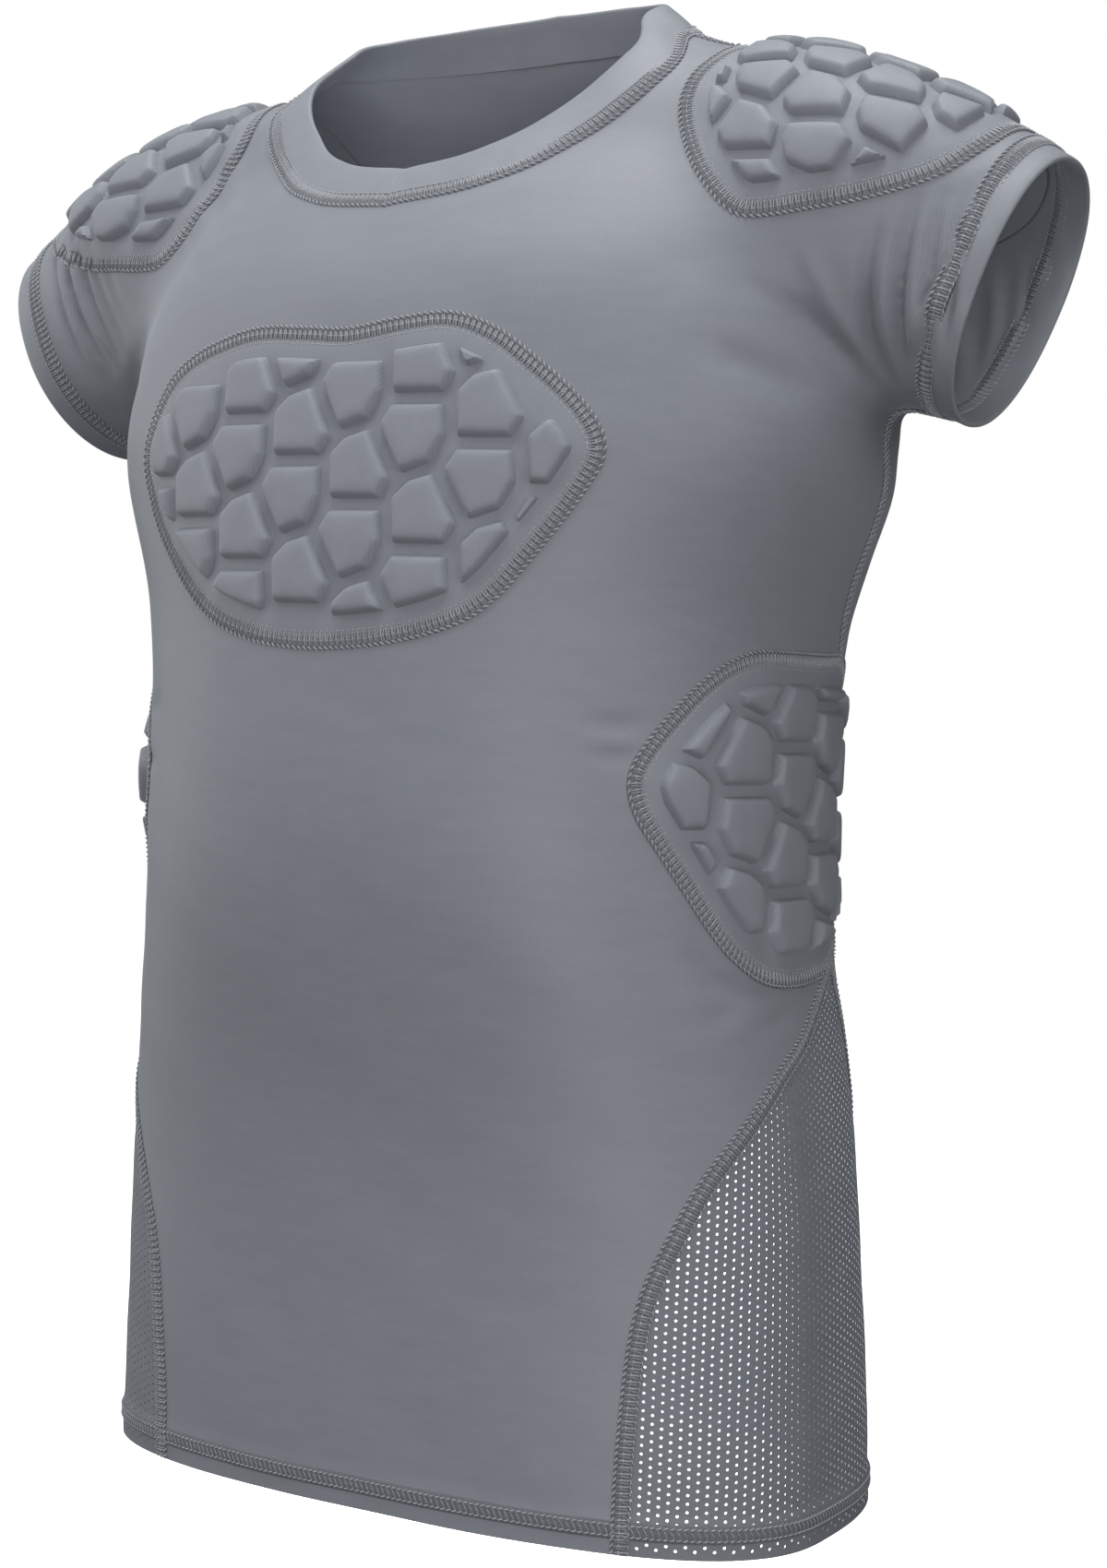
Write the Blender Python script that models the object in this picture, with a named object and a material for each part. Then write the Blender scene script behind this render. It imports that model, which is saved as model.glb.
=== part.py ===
# Padded compression shirt, worn form with no wearer. Metres, +Z up.
# The front of the shirt looks along -Y and its left side is at +X.
# The origin is the point where the wearer's shoulders carry it: on the body's centre line,
# level with the high points of the neck.
#
# The cloth follows one smooth form, a torso joined to two short sleeves. Every seam is a
# short table on that form, and each sewn panel is a wall between its seams.

import bpy
import numpy as np
from mathutils import Vector
from mathutils.geometry import delaunay_2d_cdt

CLOTH = 0.0012
PAD_BASE = 0.0020
CELL_RISE = 0.0052
BAND = 0.0020
SEAM_GAP = 0.0003
HEM_LEVEL = -0.540

# Torso: one row for each height
# height, half_width, front_depth, back_depth, squareness
TORSO = (
    (-0.560, 0.1505, 0.0680, 0.118, 2.7),
    (-0.540, 0.1500, 0.0700, 0.117, 2.7),
    (-0.405, 0.1430, 0.0815, 0.100, 2.7),
    (-0.297, 0.1285, 0.1065, 0.100, 2.6),
    (-0.216, 0.1310, 0.1090, 0.118, 2.5),
    (-0.146, 0.1520, 0.1050, 0.118, 2.4),
    (-0.090, 0.1400, 0.0940, 0.105, 2.3),
    (-0.070, 0.1360, 0.0820, 0.097, 2.2),
    (-0.050, 0.1310, 0.0660, 0.086, 2.2),
    (-0.025, 0.1155, 0.0540, 0.070, 2.1),
    (0.000, 0.0800, 0.0360, 0.044, 2.0),
    (0.030, 0.0600, 0.0300, 0.036, 2.0),
)

# Sleeve: one row for each distance along its axis, out from the shoulder joint
# distance, half_height, half_depth
SLEEVE = (
    (-0.0800, 0.0200, 0.0200),
    (-0.0400, 0.0440, 0.0460),
    (0.0000, 0.0500, 0.0580),
    (0.0545, 0.0495, 0.0480),
    (0.0715, 0.0480, 0.0465),
    (0.1300, 0.0460, 0.0440),
)
SLEEVE_SQUARENESS = 2.2
SHOULDER_JOINT = (0.142, 0.006, -0.069)
SLEEVE_DROP = 28.0
ARMPIT_BLEND = 0.024
CUFF_SEAM = 0.0600
CUFF_EDGE = 0.0715
CUFF_LEAN = -6.0
CUFF_TURN = -4.0

# Levels: the rays that reach every point of the form from inside it, one row for each level
# level, side_height, side_pitch, front_height, front_pitch, reach
LEVELS = (
    (-0.560, -0.560, 0.0, -0.560, 0.0, 0.070),
    (-0.400, -0.400, 0.0, -0.400, 0.0, 0.070),
    (-0.260, -0.260, 0.0, -0.260, 0.0, 0.075),
    (-0.200, -0.175, -14.0, -0.200, 0.0, 0.090),
    (-0.150, -0.120, -34.0, -0.150, 0.0, 0.100),
    (-0.100, -0.110, -8.0, -0.110, 0.0, 0.100),
    (-0.050, -0.110, 18.0, -0.110, 22.0, 0.100),
    (0.000, -0.110, 42.0, -0.110, 42.0, 0.095),
    (0.040, -0.110, 62.0, -0.110, 62.0, 0.085),
    (0.090, -0.110, 84.0, -0.110, 84.0, 0.060),
)

# Pad outlines, laid flat on the cloth
# across, up
CHEST_OUTLINE = (
    (0.0000, -0.1220),
    (0.0220, -0.1195),
    (0.0420, -0.1185),
    (0.0590, -0.1245),
    (0.0730, -0.1345),
    (0.0860, -0.1455),
    (0.0945, -0.1560),
    (0.0965, -0.1645),
    (0.0920, -0.1735),
    (0.0830, -0.1865),
    (0.0720, -0.2000),
    (0.0635, -0.2100),
    (0.0530, -0.2180),
    (0.0380, -0.2235),
    (0.0200, -0.2270),
    (-0.0040, -0.2285),
    (-0.0260, -0.2270),
    (-0.0460, -0.2220),
    (-0.0600, -0.2150),
    (-0.0750, -0.2030),
    (-0.0900, -0.1870),
    (-0.0985, -0.1725),
    (-0.1035, -0.1590),
    (-0.0980, -0.1440),
    (-0.0890, -0.1330),
    (-0.0760, -0.1260),
    (-0.0600, -0.1215),
    (-0.0420, -0.1190),
    (-0.0200, -0.1205),
)
# across from the side line, up, seam (1 where the side seam meets it, 2 where the mesh does)
RIB_OUTLINE = (
    (0.0400, -0.2275, 1),
    (0.0180, -0.2285, 0),
    (-0.0060, -0.2290, 0),
    (-0.0300, -0.2300, 0),
    (-0.0440, -0.2340, 0),
    (-0.0550, -0.2405, 0),
    (-0.0650, -0.2495, 0),
    (-0.0750, -0.2610, 0),
    (-0.0810, -0.2720, 0),
    (-0.0790, -0.2830, 0),
    (-0.0700, -0.2960, 0),
    (-0.0600, -0.3090, 0),
    (-0.0500, -0.3215, 0),
    (-0.0390, -0.3320, 0),
    (-0.0240, -0.3400, 0),
    (-0.0050, -0.3420, 0),
    (0.0130, -0.3405, 0),
    (0.0300, -0.3365, 2),
    (0.0460, -0.3270, 0),
    (0.0600, -0.3110, 0),
    (0.0710, -0.2920, 0),
    (0.0760, -0.2730, 0),
    (0.0740, -0.2550, 0),
    (0.0660, -0.2400, 0),
    (0.0540, -0.2310, 0),
)
# along the sleeve from the shoulder joint, round it from its top; its back half is the same
SHOULDER_OUTLINE = (
    (-0.0600, 0.0000),
    (-0.0620, 0.0250),
    (-0.0605, 0.0460),
    (-0.0580, 0.0665),
    (-0.0510, 0.0810),
    (-0.0370, 0.0925),
    (-0.0210, 0.0995),
    (-0.0100, 0.1015),
    (-0.0010, 0.0975),
    (0.0095, 0.0905),
    (0.0235, 0.0805),
    (0.0360, 0.0670),
    (0.0435, 0.0535),
    (0.0470, 0.0350),
    (0.0460, 0.0180),
    (0.0445, 0.0000),
)

# Collar: one row for each turn from the front of the neck
# turn, seam_height, lean
COLLAR = (
    (0.0, -0.0710, 38.0),
    (32.0, -0.0655, 38.0),
    (51.0, -0.0560, 40.0),
    (64.0, -0.0445, 45.0),
    (80.0, -0.0230, 54.0),
    (97.0, -0.0030, 58.0),
    (115.0, 0.0035, 47.0),
    (140.0, 0.0070, 32.0),
    (180.0, 0.0090, 23.0),
)
NECK_CENTRE = -0.022
COLLAR_HEIGHT = 0.018
SHOULDER_SEAM_TURN = 101.25

# Seams of the side, one row for each point
# turn, level
SIDE_SEAM = ((114.0, -0.152), (118.5, -0.176), (121.0, -0.205))
MESH_FRONT = (
    (89.0, -0.3610),
    (71.0, -0.3765),
    (55.7, -0.4035),
    (47.7, -0.4320),
    (43.4, -0.4600),
    (41.8, -0.5050),
    (41.7, HEM_LEVEL),
)
MESH_BACK = (
    (120.0, -0.3560),
    (126.0, -0.3780),
    (131.0, -0.4050),
    (135.0, -0.4320),
    (137.5, -0.4600),
    (139.5, -0.5050),
    (140.0, HEM_LEVEL),
)

# Creases of the cloth, one row for each, the same on both sides of the shirt
# start_x, start_y, start_z, end_x, end_y, end_z, width, depth
CREASES = (
    (0.169, -0.004, -0.140, 0.140, -0.046, -0.121, 0.0055, 0.0020),
    (0.173, -0.012, -0.139, 0.156, -0.045, -0.102, 0.0050, 0.0024),
    (0.176, -0.017, -0.137, 0.171, -0.046, -0.089, 0.0045, 0.0022),
    (0.182, -0.025, -0.134, 0.183, -0.044, -0.083, 0.0045, 0.0020),
    (0.188, -0.032, -0.128, 0.193, -0.041, -0.077, 0.0040, 0.0016),
    (0.169, 0.016, -0.140, 0.141, 0.060, -0.118, 0.0055, 0.0022),
    (0.174, 0.024, -0.136, 0.160, 0.058, -0.098, 0.0050, 0.0022),
    (0.182, 0.034, -0.130, 0.181, 0.054, -0.082, 0.0045, 0.0018),
    (0.153, 0.017, -0.148, 0.145, -0.030, -0.168, 0.0060, 0.0014),
    (0.086, -0.069, -0.074, 0.121, -0.039, -0.033, 0.0060, 0.0012),
    (0.093, -0.087, -0.259, 0.107, -0.073, -0.256, 0.0045, 0.0010),
)

# Cells of the pads: two shapes side by side in a pattern, in millimetres from one's corner
# across, up
UPPER_CELL = ((0.0, 0.0), (19.7, -0.5), (24.1, 6.4), (14.2, 23.7), (5.1, 21.4), (-1.0, 15.8))
LOWER_CELL = ((5.6, -28.1), (16.6, -24.5), (21.8, -15.6), (20.6, -4.4), (0.3, -3.9), (-4.2, -11.2))
CELL_ACROSS = (26.1, -15.9)
CELL_DOWN = (3.6, -51.9)
CELL_COUNT = 9
# Where the pattern lies on each pad: its corner, its way across and its way up
CHEST_CELLS = ((-0.0006, -0.1792), (1.0, 0.0), (0.0, 1.0))
RIB_CELLS = ((-0.0225, -0.2735), (-1.22, 0.0), (0.0, 1.0))
SHOULDER_CELLS = ((-0.0220, 0.0635), (0.0, -0.79), (-1.0, 0.0))
CELL_BEVEL = 0.0024
CELL_BORDER = 0.0084
CELL_LEAST_AREA = 40e-6
CELL_LEAST_SIDE = 0.0009

# Mesh sizes and the steps of the searches
BODY_STEP = 0.0175
NET_STEP = 0.0240
LOOP_POINTS = 64
CUFF_POINTS = 44
PART_STEP = 0.0095
CHART_RADIUS = 0.13
RAY_REACH = 0.32
RAY_STEPS = 40
HALVINGS = 22
TURN_STEPS = 40
TURN_SHARE = 0.35
LEVEL_STEPS = 36
CUFF_STEPS = 6
TAPE_POINTS = 240
RING_POINTS = 181
ROW_SHARE = 0.85
RISE_SHARE = 0.25
SEAM_SHARE = 0.55
SLOPE_STEP = 0.0015
TURN_CHECK = 0.002
SHARP_ANGLE = 35.0
LEAST_HEIGHT = 0.0003
LEAST_SIDE = 1e-6
SAME_POINT = 1e-7

# Colours: red, green, blue, roughness
BODY_COLOUR = (0.235, 0.250, 0.275, 0.62)
PAD_COLOUR = (0.225, 0.240, 0.268, 0.66)
BAND_COLOUR = (0.240, 0.256, 0.282, 0.60)
NET_COLOUR = (0.170, 0.182, 0.200, 0.70)

DROP = np.radians(SLEEVE_DROP)
SLEEVE_OUT = np.array((np.cos(DROP), 0.0, -np.sin(DROP)))
SLEEVE_UP = np.array((np.sin(DROP), 0.0, np.cos(DROP)))
FORWARD = np.array((0.0, -1.0, 0.0))


def along(table, value):
    """The columns of a table at a value of its first column, on a smooth curve through its rows."""
    rows = np.array(table, float)
    at, columns = rows[:, 0], rows[:, 1:]
    step = np.diff(at)
    slope = np.diff(columns, axis=0) / step[:, None]
    ease = np.empty_like(columns)
    ease[0], ease[-1] = slope[0], slope[-1]
    both = (step[:-1] + step[1:])[:, None]
    ease[1:-1] = (slope[:-1] * step[1:, None] + slope[1:] * step[:-1, None]) / both
    value = np.clip(value, at[0], at[-1])
    row = np.clip(np.searchsorted(at, value, side="right") - 1, 0, len(at) - 2)
    part = ((value - at[row]) / step[row])[..., None]
    width = step[row][..., None]
    found = (
        columns[row] * (1 + 2 * part) * (1 - part) ** 2
        + columns[row + 1] * part * part * (3 - 2 * part)
        + ease[row] * width * part * (1 - part) ** 2
        - ease[row + 1] * width * part * part * (1 - part)
    )
    return np.moveaxis(found, -1, 0)


def oval_depth(a, b, half_a, half_b, squareness):
    """How far outside a rounded oval a point lies, negative inside it."""
    size = (np.abs(a) / half_a) ** squareness + (np.abs(b) / half_b) ** squareness
    mean = 2 * half_a * half_b / (half_a + half_b)
    return ((size + 1e-12) ** (1 / squareness) - 1) * mean


def sleeve_place(points):
    """Distance along the sleeve, height above its axis and depth behind it."""
    near = np.stack([np.abs(points[..., 0]), points[..., 1], points[..., 2]], -1)
    near = near - np.array(SHOULDER_JOINT)
    return near @ SLEEVE_OUT, near @ SLEEVE_UP, near[..., 1]


def form_depth(points):
    """How far outside the form each point lies: the torso and the sleeves in one smooth skin."""
    half_width, front, back, squareness = along(TORSO, points[..., 2])
    depth = np.where(points[..., 1] < 0, front, back)
    torso = oval_depth(points[..., 0], points[..., 1], half_width, depth, squareness)
    out, up, behind = sleeve_place(points)
    half_height, half_depth = along(SLEEVE, out)
    sleeve = oval_depth(up, behind, half_height, half_depth, SLEEVE_SQUARENESS)
    sleeve = sleeve + np.maximum(SLEEVE[0][0] - out, 0)
    mix = np.clip(0.5 + 0.5 * (sleeve - torso) / ARMPIT_BLEND, 0, 1)
    return sleeve * (1 - mix) + torso * mix - ARMPIT_BLEND * mix * (1 - mix)


def normals_at(points):
    """The outward direction of the form at each point."""
    steps = np.eye(3) * SLOPE_STEP
    slope = [form_depth(points + step) - form_depth(points - step) for step in steps]
    slope = np.stack(slope, -1)
    return slope / np.linalg.norm(slope, axis=-1, keepdims=True)


def cast(origin, direction):
    """The point where each ray first leaves the form."""
    reach = np.linspace(0, RAY_REACH, RAY_STEPS)
    inside = form_depth(origin[..., None, :] + direction[..., None, :] * reach[:, None]) < 0
    leaves = np.argmax(inside[..., :-1] & ~inside[..., 1:], axis=-1)
    low, high = reach[leaves], reach[leaves + 1]
    for _ in range(HALVINGS):
        middle = (low + high) / 2
        within = form_depth(origin + direction * middle[..., None]) < 0
        low = np.where(within, middle, low)
        high = np.where(within, high, middle)
    return origin + direction * ((low + high) / 2)[..., None]


def level_ray(turn, level):
    """Height, pitch and reach of the rays of one level."""
    side_height, side_pitch, front_height, front_pitch, reach = along(LEVELS, level)
    side = np.sin(turn) ** 2
    height = front_height + (side_height - front_height) * side
    pitch = np.radians(front_pitch + (side_pitch - front_pitch) * side)
    return height, pitch, reach


def on_form(turn, level):
    """Points of the form, from the turn round it and the level."""
    turn, level = np.broadcast_arrays(np.asarray(turn, float), np.asarray(level, float))
    height, pitch, reach = level_ray(turn, level)
    across, ahead = np.sin(turn), -np.cos(turn)
    origin = np.stack([reach * across, 0 * across, height], -1)
    flat = np.cos(pitch)
    return cast(origin, np.stack([across * flat, ahead * flat, np.sin(pitch)], -1))


def turn_and_level(points):
    """The turn and the level of points of the form, the other way round from on_form."""
    x, y, z = points.T
    low = np.full(len(points), LEVELS[0][0])
    high = np.full(len(points), LEVELS[-1][0])
    for _ in range(LEVEL_STEPS):
        level = (low + high) / 2
        turn = np.arctan2(x, -y)
        reach = level_ray(turn, level)[2]
        for _ in range(TURN_STEPS):
            better = np.arctan2(x - reach * np.sin(turn), -y)
            change = (better - turn + np.pi) % (2 * np.pi) - np.pi
            turn = turn + TURN_SHARE * change
        height, pitch, reach = level_ray(turn, level)
        flat = np.hypot(x - reach * np.sin(turn), y)
        under = height + flat * np.tan(pitch) < z
        low = np.where(under, level, low)
        high = np.where(under, high, level)
    return turn, level


def torso_point(turn, height):
    """The point of the torso at a turn and a height, on a flat ray."""
    reach = LEVELS[0][-1]
    origin = np.stack([reach * np.sin(turn), 0 * turn, height + 0 * turn], -1)
    return cast(origin, np.stack([np.sin(turn), -np.cos(turn), 0 * turn], -1))


def sleeve_point(out, turn):
    """The point of the sleeve at a distance along it and a turn from its top towards the front."""
    out, turn = np.broadcast_arrays(np.asarray(out, float), np.asarray(turn, float))
    origin = np.array(SHOULDER_JOINT) + out[..., None] * SLEEVE_OUT
    direction = np.cos(turn)[..., None] * SLEEVE_UP + np.sin(turn)[..., None] * FORWARD
    return cast(origin, direction)


def tape(points_at, start, end, zero):
    """A tape laid round the form: turns and the lengths that it reads, from a zero turn."""
    turns = np.radians(np.linspace(start, end, TAPE_POINTS))
    steps = np.linalg.norm(np.diff(points_at(turns), axis=0), axis=1)
    lengths = np.concatenate([[0], np.cumsum(steps)])
    return turns, lengths - np.interp(np.radians(zero), turns, lengths)


CHEST_TAPE = tape(lambda turn: torso_point(turn, -0.170), -70, 70, 0)
RIB_TAPE = tape(lambda turn: torso_point(turn, -0.285), 5, 175, 90)
SHOULDER_TAPE = tape(lambda turn: sleeve_point(0.0, turn), -150, 150, 0)


def chest_place(flat):
    """Points of the form from a flat drawing: across the chest, up."""
    return torso_point(np.interp(flat[:, 0], CHEST_TAPE[1], CHEST_TAPE[0]), flat[:, 1])


def rib_place(flat):
    """Points of the form from a flat drawing: across from the side line, up."""
    return torso_point(np.interp(flat[:, 0], RIB_TAPE[1], RIB_TAPE[0]), flat[:, 1])


def shoulder_place(flat):
    """Points of the form from a flat drawing: along the sleeve, round it."""
    return sleeve_point(flat[:, 0], np.interp(flat[:, 1], SHOULDER_TAPE[1], SHOULDER_TAPE[0]))


def smooth_line(rows, step, closed=False):
    """Points along a smooth curve through the rows, with the rows among them."""
    rows = np.array(rows, float)
    if closed:
        rows = np.vstack([rows[-1:], rows, rows[:2]])
    else:
        rows = np.vstack([2 * rows[0] - rows[1], rows, 2 * rows[-1] - rows[-2]])
    line, knots = [], []
    for i in range(1, len(rows) - 2):
        before, start, end, after = rows[i - 1 : i + 3]
        count = max(1, int(np.ceil(np.linalg.norm(end - start) / step)))
        part = np.arange(count)[:, None] / count
        knots.append(sum(len(piece) for piece in line))
        line.append(
            start
            + 0.5 * part * (end - before)
            + part**2 * (before - 2.5 * start + 2 * end - 0.5 * after)
            + part**3 * (1.5 * start - 0.5 * before - 1.5 * end + 0.5 * after)
        )
    if not closed:
        knots.append(sum(len(piece) for piece in line))
        line.append(rows[-2:-1])
    return np.concatenate(line), knots


def seam_on_form(rows, first=None, last=None):
    """Points of a seam from its turns and levels, between two points of the form."""
    rows = [(np.radians(turn) * CHART_RADIUS, level) for turn, level in rows]
    for end, place in ((first, 0), (last, len(rows) + 1)):
        if end is not None:
            turn, level = turn_and_level(end[None])
            rows.insert(place, (turn[0] * CHART_RADIUS, level[0]))
    line = smooth_line(rows, PART_STEP)[0]
    points = on_form(line[:, 0] / CHART_RADIUS, line[:, 1])
    if first is not None:
        points[0] = first
    if last is not None:
        points[-1] = last
    return points


def mirrored(points):
    """The same points on the other side of the shirt, in the opposite order."""
    return (points * np.array((-1.0, 1.0, 1.0)))[::-1]


def cuff_loop(distance):
    """Points round the sleeve on the slanting line of a cuff, from its top by the front."""
    turn = np.arange(CUFF_POINTS) * 2 * np.pi / CUFF_POINTS
    out = np.full(CUFF_POINTS, distance)
    for _ in range(CUFF_STEPS):
        up, behind = sleeve_place(sleeve_point(out, turn))[1:]
        out = distance + up * np.tan(np.radians(CUFF_LEAN)) + behind * np.tan(np.radians(CUFF_TURN))
    return sleeve_point(out, turn)


def collar_loop():
    """Points of the collar seam from the front by the left side, and which way the band rises."""
    turn = np.arange(LOOP_POINTS) * 2 * np.pi / LOOP_POINTS
    folded = np.degrees(np.minimum(turn, 2 * np.pi - turn))
    height, lean = along(COLLAR, folded)
    aside = np.stack([np.sin(turn), -np.cos(turn), 0 * turn], -1)
    centre = np.stack([0 * turn, NECK_CENTRE + 0 * turn, height], -1)
    lean = np.radians(lean)[:, None]
    rise = np.cos(lean) * np.array((0.0, 0.0, 1.0)) - np.sin(lean) * aside
    return cast(centre, aside), rise


def crease_depth(points):
    """How far the creases sink the cloth at each point."""
    sunk = np.zeros(len(points))
    near = points.copy()
    near[:, 0] = np.abs(near[:, 0])
    for row in CREASES:
        start, end, (width, depth) = np.array(row[:3]), np.array(row[3:6]), row[6:]
        run = end - start
        part = np.clip((near - start) @ run / (run @ run), 0, 1)
        away = np.linalg.norm(near - start - part[:, None] * run, axis=1)
        sunk += depth * np.exp(-((away / width) ** 2)) * np.sin(np.pi * (0.1 + 0.8 * part))
    return sunk


def drawn_in(loop, distance):
    """A closed loop of points of the form, moved inwards in the cloth by a distance."""
    ahead = np.roll(loop, -1, axis=0) - loop
    ahead = ahead / np.linalg.norm(ahead, axis=1, keepdims=True)
    inwards = np.cross(normals_at(loop), ahead)
    before = np.roll(inwards, 1, axis=0)
    both = inwards + before
    size = np.maximum(0.25, 0.5 * (both * both).sum(axis=1, keepdims=True))
    return loop + both / size * distance


def in_loop(points, loop):
    """Which flat points lie inside a flat loop."""
    ends = np.roll(loop, -1, axis=0)
    px, py = points[:, :1], points[:, 1:2]
    spans = (loop[:, 1] > py) != (ends[:, 1] > py)
    rise = np.where(ends[:, 1] == loop[:, 1], 1.0, ends[:, 1] - loop[:, 1])
    crossing = loop[:, 0] + (py - loop[:, 1]) * (ends[:, 0] - loop[:, 0]) / rise
    return (spans & (px < crossing)).sum(axis=1) % 2 == 1


def clear_of(points, others, distance):
    """Which points lie at least a distance from all the others."""
    gaps = np.linalg.norm(points[:, None] - others[None], axis=-1)
    return gaps.min(axis=1) > distance


def triangles_of(flat, loops):
    """Triangles over flat points whose first ones are the loops, with the loops' sides kept."""
    edges, start = [], 0
    for loop in loops:
        edges += [(start + i, start + (i + 1) % len(loop)) for i in range(len(loop))]
        start += len(loop)
    found = delaunay_2d_cdt([Vector(p) for p in flat], edges, [], 0, SAME_POINT)
    source = [ids[0] if ids else -1 for ids in found[3]]
    faces = np.array([[source[v] for v in face] for face in found[2]])
    return faces[(faces >= 0).all(axis=1)]


def triangles_between(loops, inner):
    """Triangles of the flat area inside the first loop and outside the others."""
    flat = np.vstack([*loops, inner])
    start = sum(len(loop) for loop in loops)
    faces = triangles_of(flat, loops)
    middles = flat[faces].mean(axis=1)
    keep = in_loop(middles, loops[0])
    for hole in loops[1:]:
        keep &= ~in_loop(middles, hole)
    first, second, third = flat[faces].transpose(1, 0, 2)
    run, other = second - first, third - first
    area = np.abs(run[:, 0] * other[:, 1] - run[:, 1] * other[:, 0])
    lengths = [np.linalg.norm(side, axis=1) for side in (run, other, third - second)]
    on_rim = (faces < start).all(axis=1)
    keep &= ~(on_rim & (area / np.max(lengths, axis=0) < LEAST_HEIGHT))
    return faces[keep]


def body_grid(step, centre):
    """Points of the form about a step apart, in rows, with their places in the flat chart."""
    points, flat = [], []
    turns = np.linspace(-np.pi, np.pi, RING_POINTS)
    level, odd = HEM_LEVEL + 0.5 * step, False
    while level < LEVELS[-1][0]:
        ring = on_form(turns, level)
        sides = np.linalg.norm(np.diff(ring, axis=0), axis=1)
        lengths = np.concatenate([[0], np.cumsum(np.minimum(sides, 4 * step))])
        count = max(8, int(lengths[-1] / step))
        places = (np.arange(count) + 0.5 * odd) / count * lengths[-1]
        turn = np.interp(places, lengths, turns)
        points.append(on_form(turn, level))
        around = (turn - centre + np.pi) % (2 * np.pi) - np.pi
        flat.append(np.stack([around * CHART_RADIUS, 0 * turn + level], -1))
        above = on_form(turns, level + RISE_SHARE * step)
        rise = np.median(np.linalg.norm(above - ring, axis=1))
        level += ROW_SHARE * step * np.clip(RISE_SHARE * step / max(rise, LEAST_SIDE), 0.3, 1.2)
        odd = not odd
    return np.vstack(points), np.vstack(flat)


def chart(points, centre):
    """The places of points of the form in the flat chart round a centre turn."""
    turn, level = turn_and_level(points)
    around = (turn - centre + np.pi) % (2 * np.pi) - np.pi
    return np.stack([around * CHART_RADIUS, level], -1)


def finish_mesh(name, outer, inner, faces, colour):
    """A wall between outer and inner points with the same triangles, closed round its edges."""
    corner = outer[faces]
    up = np.cross(corner[:, 1] - corner[:, 0], corner[:, 2] - corner[:, 0])
    thick = (outer - inner)[faces].mean(axis=1)
    if (up * thick).sum() < 0:
        faces = faces[:, ::-1]
    sides = np.vstack([faces[:, (0, 1)], faces[:, (1, 2)], faces[:, (2, 0)]])
    known = {tuple(side) for side in sides.tolist()}
    rim = [(a, b) for a, b in known if (b, a) not in known]
    shift = len(outer)
    everything = faces.tolist()
    everything += (faces[:, ::-1] + shift).tolist()
    everything += [(b, a, a + shift, b + shift) for a, b in rim]
    used = sorted({v for face in everything for v in face})
    number = {v: i for i, v in enumerate(used)}
    points = np.vstack([outer, inner])[used]
    everything = [[number[v] for v in face] for face in everything]
    mesh = bpy.data.meshes.new(name)
    mesh.from_pydata(points.tolist(), [], everything)
    mesh.validate()
    made = bpy.data.objects.new(name, mesh)
    shirt.objects.link(made)
    material = bpy.data.materials.new(name)
    material.use_nodes = True
    surface = material.node_tree.nodes["Principled BSDF"]
    surface.inputs["Base Color"].default_value = (*colour[:3], 1)
    surface.inputs["Roughness"].default_value = colour[3]
    surface.inputs["Metallic"].default_value = 0
    mesh.materials.append(material)
    mesh.polygons.foreach_set("use_smooth", [True] * len(mesh.polygons))
    mesh.set_sharp_from_angle(angle=np.radians(SHARP_ANGLE))
    return made


def cloth_panel(name, loops, centre, step, colour, side=1.0):
    """A panel of plain cloth between its seam loops, mirrored where side is -1."""
    loops = [drawn_in(loop, SEAM_GAP / 2) for loop in loops]
    flat_loops = [chart(loop, centre) for loop in loops]
    inner, flat = body_grid(step, centre)
    keep = in_loop(flat, flat_loops[0])
    for hole in flat_loops[1:]:
        keep &= ~in_loop(flat, hole)
    inner, flat = inner[keep], flat[keep]
    keep = clear_of(inner, np.vstack(loops), SEAM_SHARE * step)
    inner, flat = inner[keep], flat[keep]
    faces = triangles_between(flat_loops, flat)
    points = np.vstack([*loops, inner])
    normal = normals_at(points)
    points = points - normal * crease_depth(points)[:, None]
    mirror = np.array((side, 1.0, 1.0))
    return finish_mesh(name, points * mirror, (points - normal * CLOTH) * mirror, faces, colour)


def clipped(shape, point, outwards):
    """A flat convex shape cut off beyond a line."""
    kept = []
    for i, start in enumerate(shape):
        end = shape[(i + 1) % len(shape)]
        from_start = (start - point) @ outwards
        from_end = (end - point) @ outwards
        if from_start <= 0:
            kept.append(start)
        if (from_start < 0 < from_end) or (from_end < 0 < from_start):
            kept.append(start + (end - start) * from_start / (from_start - from_end))
    return np.array(kept)


def shrunk(shape, distance):
    """A flat shape, listed anticlockwise, with each of its sides moved in."""
    result = shape
    if len(shape) < 3:
        return shape
    for i, start in enumerate(shape):
        run = shape[(i + 1) % len(shape)] - start
        length = np.linalg.norm(run)
        if length < LEAST_SIDE:
            continue
        outwards = np.array((run[1], -run[0])) / length
        result = clipped(result, start - outwards * distance, outwards)
        if len(result) < 3:
            return result
    return result


def area_of(shape):
    """The area of a flat shape, positive when it is listed anticlockwise."""
    nxt = np.roll(shape, -1, axis=0)
    return 0.5 * (shape[:, 0] * nxt[:, 1] - nxt[:, 0] * shape[:, 1]).sum()


def tidied(shape):
    """A flat shape without corners that stand too near the next one."""
    if len(shape) < 3:
        return shape
    kept = [shape[0]]
    for point in shape[1:]:
        if np.linalg.norm(point - kept[-1]) > CELL_LEAST_SIDE:
            kept.append(point)
    if len(kept) > 1 and np.linalg.norm(kept[0] - kept[-1]) <= CELL_LEAST_SIDE:
        kept.pop()
    return np.array(kept)


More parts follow.
